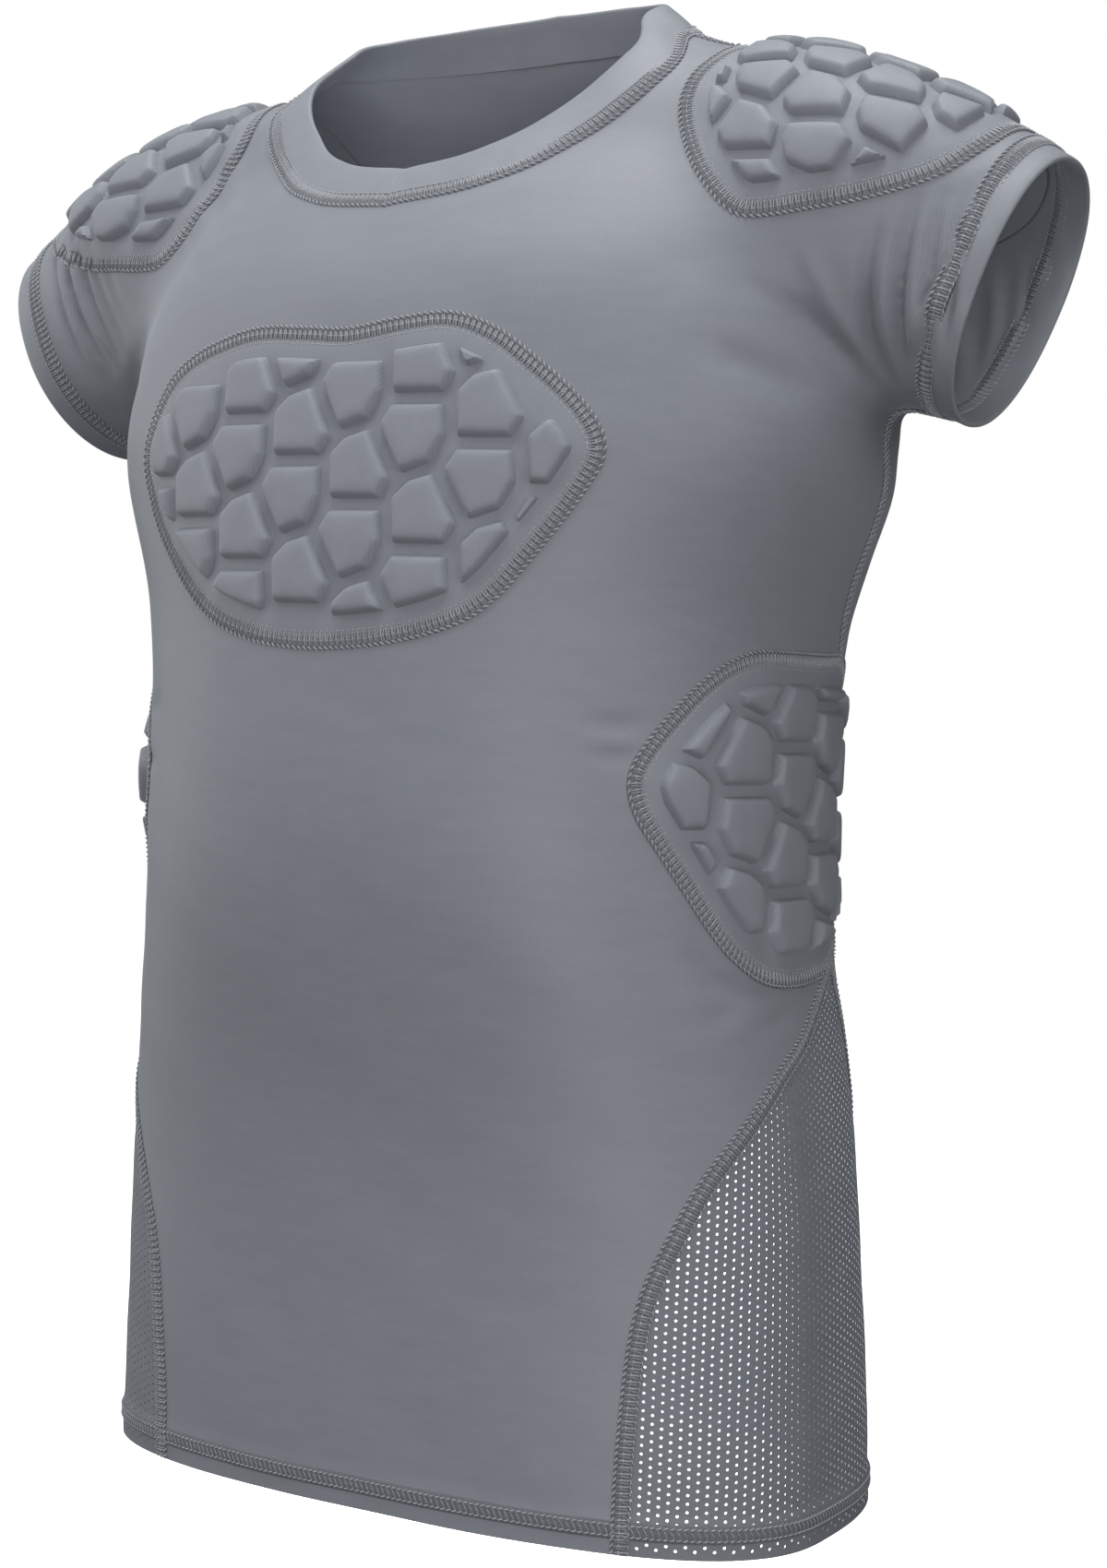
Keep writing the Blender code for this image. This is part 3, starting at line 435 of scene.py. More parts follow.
def along(table, value):
    """The columns of a table at a value of its first column, on a smooth curve through its rows."""
    rows = np.array(table, float)
    at, columns = rows[:, 0], rows[:, 1:]
    step = np.diff(at)
    slope = np.diff(columns, axis=0) / step[:, None]
    ease = np.empty_like(columns)
    ease[0], ease[-1] = slope[0], slope[-1]
    both = (step[:-1] + step[1:])[:, None]
    ease[1:-1] = (slope[:-1] * step[1:, None] + slope[1:] * step[:-1, None]) / both
    value = np.clip(value, at[0], at[-1])
    row = np.clip(np.searchsorted(at, value, side="right") - 1, 0, len(at) - 2)
    part = ((value - at[row]) / step[row])[..., None]
    width = step[row][..., None]
    found = (
        columns[row] * (1 + 2 * part) * (1 - part) ** 2
        + columns[row + 1] * part * part * (3 - 2 * part)
        + ease[row] * width * part * (1 - part) ** 2
        - ease[row + 1] * width * part * part * (1 - part)
    )
    return np.moveaxis(found, -1, 0)


def oval_depth(a, b, half_a, half_b, squareness):
    """How far outside a rounded oval a point lies, negative inside it."""
    size = (np.abs(a) / half_a) ** squareness + (np.abs(b) / half_b) ** squareness
    mean = 2 * half_a * half_b / (half_a + half_b)
    return ((size + TINY) ** (1 / squareness) - 1) * mean


def sleeve_place(points):
    """Distance along the sleeve, height above its axis and depth behind it."""
    near = np.stack([np.abs(points[..., 0]), points[..., 1], points[..., 2]], -1)
    near = near - np.array(SHOULDER_JOINT)
    return near @ SLEEVE_OUT, near @ SLEEVE_UP, near[..., 1]


def form_depth(points):
    """How far outside the form each point lies: the torso and the sleeves in one smooth skin."""
    half_width, front, back, squareness = along(TORSO, points[..., 2])
    depth = np.where(points[..., 1] < 0, front, back)
    torso = oval_depth(points[..., 0], points[..., 1], half_width, depth, squareness)
    out, up, behind = sleeve_place(points)
    half_height, half_depth = along(SLEEVE, out)
    sleeve = oval_depth(up, behind, half_height, half_depth, SLEEVE_SQUARENESS)
    sleeve = sleeve + np.maximum(SLEEVE[0][0] - out, 0)
    mix = np.clip(0.5 + 0.5 * (sleeve - torso) / ARMPIT_BLEND, 0, 1)
    return sleeve * (1 - mix) + torso * mix - ARMPIT_BLEND * mix * (1 - mix)


def normals_at(points):
    """The outward direction of the form at each point."""
    steps = np.eye(3) * SLOPE_STEP
    slope = [form_depth(points + s) - form_depth(points - s) for s in steps]
    slope = np.stack(slope, -1)
    return slope / np.linalg.norm(slope, axis=-1, keepdims=True)


def cast(origin, direction):
    """The point where each ray first leaves the form."""
    reach = np.linspace(0, RAY_REACH, RAY_STEPS)
    inside = form_depth(origin[..., None, :] + direction[..., None, :] * reach[:, None]) < 0
    leaves = np.argmax(inside[..., :-1] & ~inside[..., 1:], axis=-1)
    low, high = reach[leaves], reach[leaves + 1]
    for _ in range(HALVINGS):
        middle = (low + high) / 2
        within = form_depth(origin + direction * middle[..., None]) < 0
        low = np.where(within, middle, low)
        high = np.where(within, high, middle)
    return origin + direction * ((low + high) / 2)[..., None]


def level_ray(turn, level):
    """Height, pitch and reach of the rays of one level."""
    side_height, side_pitch, front_height, front_pitch, reach = along(LEVELS, level)
    side = np.sin(turn) ** 2
    height = front_height + (side_height - front_height) * side
    pitch = np.radians(front_pitch + (side_pitch - front_pitch) * side)
    return height, pitch, reach


def on_form(turn, level):
    """Points of the form, from the turn round it and the level."""
    turn, level = np.broadcast_arrays(np.asarray(turn, float), np.asarray(level, float))
    height, pitch, reach = level_ray(turn, level)
    across, ahead = np.sin(turn), -np.cos(turn)
    origin = np.stack([reach * across, 0 * across, height], -1)
    flat = np.cos(pitch)
    return cast(origin, np.stack([across * flat, ahead * flat, np.sin(pitch)], -1))


def turn_and_level(points):
    """The turn and the level of points of the form, the other way round from on_form."""
    x, y, z = points.T
    low = np.full(len(points), LEVELS[0][0])
    high = np.full(len(points), LEVELS[-1][0])
    for _ in range(LEVEL_STEPS):
        level = (low + high) / 2
        turn = np.arctan2(x, -y)
        reach = level_ray(turn, level)[2]
        for _ in range(TURN_STEPS):
            better = np.arctan2(x - reach * np.sin(turn), -y)
            change = (better - turn + np.pi) % (2 * np.pi) - np.pi
            turn = turn + TURN_SHARE * change
        height, pitch, reach = level_ray(turn, level)
        flat = np.hypot(x - reach * np.sin(turn), y)
        under = height + flat * np.tan(pitch) < z
        low = np.where(under, level, low)
        high = np.where(under, high, level)
    return turn, level


def torso_point(turn, height):
    """The point of the torso at a turn and a height, on a flat ray."""
    reach = LEVELS[0][-1]
    origin = np.stack([reach * np.sin(turn), 0 * turn, height + 0 * turn], -1)
    return cast(origin, np.stack([np.sin(turn), -np.cos(turn), 0 * turn], -1))


def sleeve_point(out, turn):
    """The point of the sleeve at a distance along it and a turn from its top towards the front."""
    out, turn = np.broadcast_arrays(np.asarray(out, float), np.asarray(turn, float))
    origin = np.array(SHOULDER_JOINT) + out[..., None] * SLEEVE_OUT
    direction = np.cos(turn)[..., None] * SLEEVE_UP + np.sin(turn)[..., None] * FORWARD
    return cast(origin, direction)


def tape(points_at, start, end, zero):
    """A tape laid round the form: turns and the lengths that it reads, from a zero turn."""
    turns = np.radians(np.linspace(start, end, TAPE_POINTS))
    steps = np.linalg.norm(np.diff(points_at(turns), axis=0), axis=1)
    lengths = np.concatenate([[0], np.cumsum(steps)])
    return turns, lengths - np.interp(np.radians(zero), turns, lengths)


CHEST_TAPE = tape(lambda turn: torso_point(turn, -0.170), -70, 70, 0)
RIB_TAPE = tape(lambda turn: torso_point(turn, -0.285), 5, 175, 90)
SHOULDER_TAPE = tape(lambda turn: sleeve_point(0.0, turn), -150, 150, 0)
NET_TAPE = tape(lambda turn: on_form(turn, NET_LEVEL), 20, 160, 90)


def chest_place(flat):
    """Points of the form from a flat drawing: across the chest, up."""
    return torso_point(np.interp(flat[:, 0], CHEST_TAPE[1], CHEST_TAPE[0]), flat[:, 1])


def rib_place(flat):
    """Points of the form from a flat drawing: across from the side line, up."""
    return torso_point(np.interp(flat[:, 0], RIB_TAPE[1], RIB_TAPE[0]), flat[:, 1])


def shoulder_place(flat):
    """Points of the form from a flat drawing: along the sleeve, round it."""
    return sleeve_point(flat[:, 0], np.interp(flat[:, 1], SHOULDER_TAPE[1], SHOULDER_TAPE[0]))


def smooth_line(rows, step, closed=False):
    """Points along a smooth curve through the rows, with the rows among them."""
    rows = np.array(rows, float)
    if closed:
        rows = np.vstack([rows[-1:], rows, rows[:2]])
    else:
        rows = np.vstack([2 * rows[0] - rows[1], rows, 2 * rows[-1] - rows[-2]])
    line, knots = [], []
    for i in range(1, len(rows) - 2):
        before, start, end, after = rows[i - 1 : i + 3]
        count = max(1, int(np.ceil(np.linalg.norm(end - start) / step)))
        part = np.arange(count)[:, None] / count
        knots.append(sum(len(piece) for piece in line))
        line.append(
            start
            + 0.5 * part * (end - before)
            + part**2 * (before - 2.5 * start + 2 * end - 0.5 * after)
            + part**3 * (1.5 * start - 0.5 * before - 1.5 * end + 0.5 * after)
        )
    if not closed:
        knots.append(sum(len(piece) for piece in line))
        line.append(rows[-2:-1])
    return np.concatenate(line), knots


def seam_on_form(rows, first=None, last=None):
    """Points of a seam from its turns and levels, between two points of the form."""
    rows = [(np.radians(turn) * CHART_RADIUS, level) for turn, level in rows]
    for end, place in ((first, 0), (last, len(rows) + 1)):
        if end is not None:
            turn, level = turn_and_level(end[None])
            rows.insert(place, (turn[0] * CHART_RADIUS, level[0]))
    line = smooth_line(rows, LINE_STEP)[0]
    points = on_form(line[:, 0] / CHART_RADIUS, line[:, 1])
    if first is not None:
        points[0] = first
    if last is not None:
        points[-1] = last
    return points


def mirrored(points):
    """The same points on the other side of the shirt, in the opposite order."""
    return (points * np.array((-1.0, 1.0, 1.0)))[::-1]


def cuff_loop(distance):
    """Points round the sleeve on the slanting line of a cuff, from its top by the front."""
    turn = np.arange(CUFF_POINTS) * 2 * np.pi / CUFF_POINTS
    out = np.full(CUFF_POINTS, distance)
    for _ in range(CUFF_STEPS):
        up, behind = sleeve_place(sleeve_point(out, turn))[1:]
        out = distance + up * np.tan(np.radians(CUFF_LEAN)) + behind * np.tan(np.radians(CUFF_TURN))
    return sleeve_point(out, turn)


def collar_loop():
    """Points of the collar seam from the front by the left side, and which way the band rises."""
    turn = np.arange(LOOP_POINTS) * 2 * np.pi / LOOP_POINTS
    folded = np.degrees(np.minimum(turn, 2 * np.pi - turn))
    height, lean = along(COLLAR, folded)
    aside = np.stack([np.sin(turn), -np.cos(turn), 0 * turn], -1)
    centre = np.stack([0 * turn, NECK_CENTRE + 0 * turn, height], -1)
    lean = np.radians(lean)[:, None]
    rise = np.cos(lean) * np.array((0.0, 0.0, 1.0)) - np.sin(lean) * aside
    return cast(centre, aside), rise


def fold_lines():
    """The middle line of every fold, its half width and its depth, in metres."""
    found = []
    part = np.linspace(0, 1, FOLD_POINTS)[:, None]
    for start, bend, end, width, depth in LEFT_FOLDS + RIGHT_FOLDS + BACK_FOLDS:
        start, bend, end = (np.array(place) / 1000 for place in (start, bend, end))
        pull = 2 * bend - (start + end) / 2
        line = start * (1 - part) ** 2 + pull * 2 * part * (1 - part) + end * part**2
        for _ in range(FOLD_STEPS):
            line = line - normals_at(line) * form_depth(line)[:, None]
        found.append((line, width / 1000, depth / 1000))
    return found


FOLD_LINES = fold_lines()


def drape(points):
    """How far the folds, the hem's turned edge and slow waves move the cloth out."""
    moved = np.zeros(len(points))
    for line, width, depth in FOLD_LINES:
        reach = FOLD_REACH * width
        low, high = line.min(axis=0) - reach, line.max(axis=0) + reach
        near = np.nonzero(((points > low) & (points < high)).all(axis=1))[0]
        if not len(near):
            continue
        best = np.full(len(near), 1.0)
        place = np.zeros(len(near))
        for i in range(len(line) - 1):
            run = line[i + 1] - line[i]
            part = np.clip((points[near] - line[i]) @ run / (run @ run), 0, 1)
            away = np.linalg.norm(points[near] - line[i] - part[:, None] * run, axis=1)
            closer = away < best
            best = np.where(closer, away, best)
            place = np.where(closer, (i + part) / (len(line) - 1), place)
        fade = np.sin(np.pi * (FADE_START + (1 - 2 * FADE_START) * place)) ** FADE_POWER
        moved[near] -= depth * fade * np.exp(-((best / width) ** 2))
    x, y, z = points.T
    for height, (ax, ay, az, start), (bx, by, bz, shift) in WAVES:
        first = np.sin(ax * x + ay * y + az * z + start)
        moved += height * first * np.sin(bx * x + by * y + bz * z + shift)
    edge = np.clip((HEM_LEVEL + HEM_TURN_UP - z) / HEM_EASE, 0, 1)
    return moved + HEM_LIFT * edge * edge * (3 - 2 * edge)


def dressed(points, normal):
    """Points of the form moved with the cloth."""
    return points + normal * drape(points)[:, None]


def drawn_in(loop, distance):
    """A closed loop of points of the form, moved inwards in the cloth by a distance."""
    ahead = np.roll(loop, -1, axis=0) - loop
    ahead = ahead / np.linalg.norm(ahead, axis=1, keepdims=True)
    inwards = np.cross(normals_at(loop), ahead)
    before = np.roll(inwards, 1, axis=0)
    both = inwards + before
    size = np.maximum(SHARPEST_TURN, 0.5 * (both * both).sum(axis=1, keepdims=True))
    return loop + both / size * distance


def in_loop(points, loop):
    """Which flat points lie inside a flat loop."""
    ends = np.roll(loop, -1, axis=0)
    rise = np.where(ends[:, 1] == loop[:, 1], 1.0, ends[:, 1] - loop[:, 1])
    found = []
    for start in range(0, len(points), 2000):
        px, py = points[start : start + 2000, :1], points[start : start + 2000, 1:2]
        spans = (loop[:, 1] > py) != (ends[:, 1] > py)
        crossing = loop[:, 0] + (py - loop[:, 1]) * (ends[:, 0] - loop[:, 0]) / rise
        found.append((spans & (px < crossing)).sum(axis=1) % 2 == 1)
    return np.concatenate(found) if found else np.zeros(0, bool)


def clear_of(points, others, distance):
    """Which points lie at least a distance from all the others."""
    tree = KDTree(len(others))
    for i, place in enumerate(others):
        tree.insert([*place, 0.0][:3], i)
    tree.balance()
    return np.array([tree.find([*place, 0.0][:3])[2] > distance for place in points], bool)


def triangles_of(flat, loops):
    """Triangles over flat points whose first ones are the loops, with the loops' sides kept."""
    edges, start = [], 0
    for loop in loops:
        edges += [(start + i, start + (i + 1) % len(loop)) for i in range(len(loop))]
        start += len(loop)
    found = delaunay_2d_cdt([Vector(p) for p in flat], edges, [], 0, SAME_POINT)
    source = [ids[0] if ids else -1 for ids in found[3]]
    faces = np.array([[source[v] for v in face] for face in found[2]])
    return faces[(faces >= 0).all(axis=1)]


def triangles_between(loops, inner, eyelets=()):
    """Triangles of the flat area inside the first loop and outside the others and the eyelets."""
    rings = [*loops, *eyelets]
    flat = np.vstack([*rings, inner]) if len(inner) else np.vstack(rings)
    start = sum(len(loop) for loop in loops)
    faces = triangles_of(flat, rings)
    middles = flat[faces].mean(axis=1)
    keep = in_loop(middles, loops[0])
    for hole in loops[1:]:
        keep &= ~in_loop(middles, hole)
    first, second, third = flat[faces].transpose(1, 0, 2)
    run, other = second - first, third - first
    area = np.abs(run[:, 0] * other[:, 1] - run[:, 1] * other[:, 0])
    lengths = [np.linalg.norm(side, axis=1) for side in (run, other, third - second)]
    on_rim = (faces < start).all(axis=1)
    keep &= ~(on_rim & (area / np.max(lengths, axis=0) < LEAST_HEIGHT))
    if len(eyelets):
        ring = (faces - start) // EYELET_SIDES
        holes = (faces >= start).all(axis=1) & (faces < start + EYELET_SIDES * len(eyelets)).all(axis=1)
        keep &= ~(holes & (ring[:, 0] == ring[:, 1]) & (ring[:, 1] == ring[:, 2]))
    return faces[keep]


def body_grid(step, centre):
    """Points of the form about a step apart, in rows, with their places in the flat chart."""
    points, flat = [], []
    turns = np.linspace(-np.pi, np.pi, RING_POINTS)
    level, odd = HEM_LEVEL + 0.5 * step, False
    while level < LEVELS[-1][0]:
        ring = on_form(turns, level)
        sides = np.linalg.norm(np.diff(ring, axis=0), axis=1)
        lengths = np.concatenate([[0], np.cumsum(np.minimum(sides, JUMP_STEPS * step))])
        count = max(LEAST_IN_ROW, int(lengths[-1] / step))
        places = (np.arange(count) + 0.5 * odd) / count * lengths[-1]
        turn = np.interp(places, lengths, turns)
        around = (turn - centre + np.pi) % (2 * np.pi) - np.pi
        half = np.abs(around) < CHART_HALF
        points.append(on_form(turn[half], level))
        flat.append(np.stack([around[half] * CHART_RADIUS, 0 * turn[half] + level], -1))
        above = on_form(turns[::RISE_EVERY], level + RISE_SHARE * step)
        rise = np.median(np.linalg.norm(above - ring[::RISE_EVERY], axis=1))
        level += LEVEL_SHARE * step * np.clip(RISE_SHARE * step / max(rise, LEAST_RISE), *RISE_LIMITS)
        odd = not odd
    return np.vstack(points), np.vstack(flat)


def on_sleeve(points):
    """Which points lie on a sleeve, where the cloth has a finer grid of its own."""
    out, up, behind = sleeve_place(points)
    sleeve = oval_depth(up, behind, *along(SLEEVE, out), SLEEVE_SQUARENESS)
    return (out > SLEEVE_START) & (sleeve < SLEEVE_NEAR)


def sleeve_grid(centre):
    """Points of both sleeves, in rows round them, with their places in the flat chart."""
    rows = []
    for i, out in enumerate(np.arange(SLEEVE_START, CUFF_SEAM, ROW_SHARE * SLEEVE_STEP)):
        height, depth = along(SLEEVE, np.array(out))
        count = int(2 * np.pi * max(height, depth) / SLEEVE_STEP)
        rows.append(sleeve_point(out, (np.arange(count) + 0.5 * (i % 2)) * 2 * np.pi / count))
    points = np.vstack(rows)
    points = points[on_sleeve(points)]
    points = np.vstack([points, points * (-1.0, 1.0, 1.0)])
    flat = chart(points, centre)
    half = np.abs(flat[:, 0]) < CHART_HALF * CHART_RADIUS
    return points[half], flat[half]


def chart(points, centre):
    """The places of points of the form in the flat chart round a centre turn."""
    turn, level = turn_and_level(points)
    around = (turn - centre + np.pi) % (2 * np.pi) - np.pi
    return np.stack([around * CHART_RADIUS, level], -1)


def finish_mesh(name, outer, inner, faces, weave, material):
    """A wall between outer and inner points with the same triangles, closed round its edges."""
    corner = outer[faces]
    up = np.cross(corner[:, 1] - corner[:, 0], corner[:, 2] - corner[:, 0])
    thick = (outer - inner)[faces].mean(axis=1)
    if (up * thick).sum() < 0:
        faces = faces[:, ::-1]
    sides = np.vstack([faces[:, (0, 1)], faces[:, (1, 2)], faces[:, (2, 0)]])
    known = {tuple(side) for side in sides.tolist()}
    rim = [(a, b) for a, b in known if (b, a) not in known]
    shift = len(outer)
    everything = faces.tolist()
    everything += (faces[:, ::-1] + shift).tolist()
    everything += [(b, a, a + shift, b + shift) for a, b in rim]
    used = np.unique(faces)
    used = np.concatenate([used, used + shift])
    number = np.full(2 * shift, -1)
    number[used] = np.arange(len(used))
    points = np.vstack([outer, inner])[used]
    everything = [[int(number[v]) for v in face] for face in everything]
    weave = np.vstack([weave, weave])[used]
    return made_mesh(name, points, everything, weave, [material], sharp=PANEL_SHARP)


def made_mesh(name, points, faces, weave, materials, sharp=None, kinds=None):
    """An object of the scene from points and faces, riding on the shirt's one body."""
    mesh = bpy.data.meshes.new(name)
    mesh.from_pydata(points.tolist(), [], faces)
    corners = np.empty(len(mesh.loops), np.int32)
    mesh.loops.foreach_get("vertex_index", corners)
    layer = mesh.uv_layers.new(name="cloth")
    layer.data.foreach_set("uv", weave[corners].astype(np.float32).ravel())
    for material in materials:
        mesh.materials.append(material)
    if kinds is not None:
        mesh.polygons.foreach_set("material_index", np.asarray(kinds, np.int32))
    mesh.polygons.foreach_set("use_smooth", [True] * len(mesh.polygons))
    if sharp:
        mesh.set_sharp_from_angle(angle=np.radians(sharp))
    made = bpy.data.objects.new(name, mesh)
    bpy.context.scene.collection.objects.link(made)
    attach(made, "root")
    return made


def cloth_panel(name, loops, centre, material, side=1.0):
    """A panel of plain cloth between its seam loops, mirrored where side is -1."""
    loops = [drawn_in(loop, SEAM_GAP / 2) for loop in loops]
    flat_loops = [chart(loop, centre) for loop in loops]
    inner, flat = body_grid(BODY_STEP, centre)
    body = ~on_sleeve(inner)
    inner, flat = inner[body], flat[body]
    finer, finer_flat = sleeve_grid(centre)
    apart = clear_of(inner, finer, GRID_SHARE * SLEEVE_STEP)
    inner, flat = np.vstack([inner[apart], finer]), np.vstack([flat[apart], finer_flat])
    keep = in_loop(flat, flat_loops[0])
    for hole in flat_loops[1:]:
        keep &= ~in_loop(flat, hole)
    inner, flat = inner[keep], flat[keep]
    keep = clear_of(inner, np.vstack(loops), SEAM_SHARE * SLEEVE_STEP)
    inner, flat = inner[keep], flat[keep]
    faces = triangles_between(flat_loops, flat)
    points = np.vstack([*loops, inner])
    faces = evened(points, faces)
    return wall(name, points, faces, np.vstack([*flat_loops, flat]), material, side)


def evened(points, faces):
    """The same triangles with the sides between them turned wherever that makes them less narrow."""
    mesh = bpy.data.meshes.new("evened")
    mesh.from_pydata(points.tolist(), [], faces.tolist())
    sheet = bmesh.new()
    sheet.from_mesh(mesh)
    bpy.data.meshes.remove(mesh)
    shared = [edge for edge in sheet.edges if len(edge.link_faces) == 2]
    bmesh.ops.beautify_fill(sheet, faces=sheet.faces[:], edges=shared, method="ANGLE")
    found = np.array([[corner.index for corner in face.verts] for face in sheet.faces])
    sheet.free()
    return found


def wall(name, points, faces, weave, material, side, thick=CLOTH):
    """The wall of a cloth panel whose points lie on the form."""
    normal = normals_at(points)
    mirror = np.array((side, 1.0, 1.0))
    points, normal = points * mirror, normal * mirror
    outer = dressed(points, normal)
    return finish_mesh(name, outer, outer - normal * thick, faces, weave, material)


def net_panel(name, loop, material, side):
    """A net panel with an open eyelet at each crossing of its columns."""
    loop = drawn_in(loop, SEAM_GAP / 2)
    flat_loop = chart(loop, np.pi / 2)
    low, high = flat_loop.min(axis=0), flat_loop.max(axis=0)
    columns = np.arange(NET_TAPE[1][0], NET_TAPE[1][-1], EYELET_COLUMN)
    middles = []
    for i, column in enumerate(columns):
        turn = np.interp(column, NET_TAPE[1], NET_TAPE[0]) - np.pi / 2
        levels = np.arange(low[1], high[1], EYELET_PITCH) + EYELET_PITCH / 2 * (i % 2)
        middles.append(np.stack([0 * levels + turn * CHART_RADIUS, levels], -1))
    middles = np.vstack(middles)
    middles = middles[in_loop(middles, flat_loop)]
    places = on_form(middles[:, 0] / CHART_RADIUS + np.pi / 2, middles[:, 1])
    middles = middles[clear_of(places, loop, EYELET_MARGIN)]
    spread = np.gradient(NET_TAPE[0] * CHART_RADIUS, NET_TAPE[1])
    wide = np.interp(middles[:, 0], (NET_TAPE[0] - np.pi / 2) * CHART_RADIUS, spread)
    angle = (np.arange(EYELET_SIDES) + 0.5) * 2 * np.pi / EYELET_SIDES
    ring = np.stack([np.cos(angle), np.sin(angle)], -1) * EYELET_RADIUS
    scale = np.stack([wide, np.ones(len(wide))], -1)[:, None]
    eyelets = middles[:, None] + ring[None] * scale
    flat = np.vstack([flat_loop, *eyelets])
    points = on_form(flat[:, 0] / CHART_RADIUS + np.pi / 2, flat[:, 1])
    points[: len(loop)] = loop
    faces = triangles_between([flat_loop], np.zeros((0, 2)), list(eyelets))
    return wall(name, points, faces, flat, material, side, NET_CLOTH)


def clipped(shape, point, outwards):
    """A flat convex shape cut off beyond a line."""
    kept = []
    for i, start in enumerate(shape):
        end = shape[(i + 1) % len(shape)]
        from_start = (start - point) @ outwards
        from_end = (end - point) @ outwards
        if from_start <= 0:
            kept.append(start)
        if (from_start < 0 < from_end) or (from_end < 0 < from_start):
            kept.append(start + (end - start) * from_start / (from_start - from_end))
    return np.array(kept)


def shrunk(shape, distance):
    """A flat shape, listed anticlockwise, with each of its sides moved in."""
    result = shape
    if len(shape) < 3:
        return shape
    for i, start in enumerate(shape):
        run = shape[(i + 1) % len(shape)] - start
        length = np.linalg.norm(run)
        if length < TINY_SIDE:
            continue
        outwards = np.array((run[1], -run[0])) / length
        result = clipped(result, start - outwards * distance, outwards)
        if len(result) < 3:
            return result
    return result


def area_of(shape):
    """The area of a flat shape, positive when it is listed anticlockwise."""
    nxt = np.roll(shape, -1, axis=0)
    return 0.5 * (shape[:, 0] * nxt[:, 1] - nxt[:, 0] * shape[:, 1]).sum()


def tidied(shape, least):
    """A flat shape without corners that stand too near the next one."""
    if len(shape) < 3:
        return shape
    kept = [shape[0]]
    for point in shape[1:]:
        if np.linalg.norm(point - kept[-1]) > least:
            kept.append(point)
    if len(kept) > 1 and np.linalg.norm(kept[0] - kept[-1]) <= least:
        kept.pop()
    return np.array(kept)


def shrunk_loop(outline, distance):
    """A flat loop moved in by a distance, corner by corner."""
    ahead = np.roll(outline, -1, axis=0) - outline
    ahead = ahead / np.linalg.norm(ahead, axis=1, keepdims=True)
    inwards = np.stack([-ahead[:, 1], ahead[:, 0]], -1)
    both = inwards + np.roll(inwards, 1, axis=0)
    both = both / np.linalg.norm(both, axis=1, keepdims=True)
    return outline + both * distance


def cells_in(outline, lay):
    """The flat cells of a pad: the shapes of the pattern, cut off at the pad's border."""
    if area_of(outline) < 0:
        outline = outline[::-1]
    border = shrunk_loop(outline, CELL_BORDER)
    origin, across, up = (np.array(part) for part in lay)
    cells = []
    for column in range(-CELL_COUNT, CELL_COUNT + 1):
        for row in range(-CELL_COUNT, CELL_COUNT + 1):
            corner = column * np.array(CELL_ACROSS) + row * np.array(CELL_DOWN)
            for shape in (UPPER_CELL, LOWER_CELL):
                drawn = (np.array(shape) + corner) / 1000
                cell = origin + drawn[:, :1] * across + drawn[:, 1:] * up
                cell = cell if area_of(cell) > 0 else cell[::-1]
                base = tidied(kept_inside(border, cell), CELL_LEAST_SIDE)
                if len(base) > 2 and area_of(base) > CELL_LEAST_AREA:
                    cells.append(base)
    return cells


def kept_inside(shape, cell):
    """What of a flat shape lies inside a convex cell that is listed anticlockwise."""
    for i, start in enumerate(cell):
        run = cell[(i + 1) % len(cell)] - start
        if len(shape) > 2:
            shape = clipped(shape, start, np.array((run[1], -run[0])) / np.linalg.norm(run))
    return shape


def rounded(shape, step):
    """A flat shape with its corners rounded and its sides cut into steps."""
    for share in ROUND_SHARES:
        nxt = np.roll(shape, -1, axis=0)
        lengths = np.maximum(np.linalg.norm(nxt - shape, axis=1), TINY_SIDE)
        cut = np.minimum(share, CELL_CORNER / lengths)[:, None]
        shape = np.stack([shape + cut * (nxt - shape), nxt - cut * (nxt - shape)], 1).reshape(-1, 2)
    shape = tidied(shape, ROUND_LEAST_SIDE)
    points = []
    for i, start in enumerate(shape):
        end = shape[(i + 1) % len(shape)]
        count = max(1, int(np.linalg.norm(end - start) / step))
        points += [start + (end - start) * k / count for k in range(count)]
    return np.array(points)


def inside_distance(points, shape):
    """How far inside the sides of a flat shape each point lies."""
    ends = np.roll(shape, -1, axis=0)
    best = np.full(len(points), 1.0)
    for start, end in zip(shape, ends):
        run = end - start
        part = np.clip((points - start) @ run / (run @ run), 0, 1)
        best = np.minimum(best, np.linalg.norm(points - start - part[:, None] * run, axis=1))
    return best


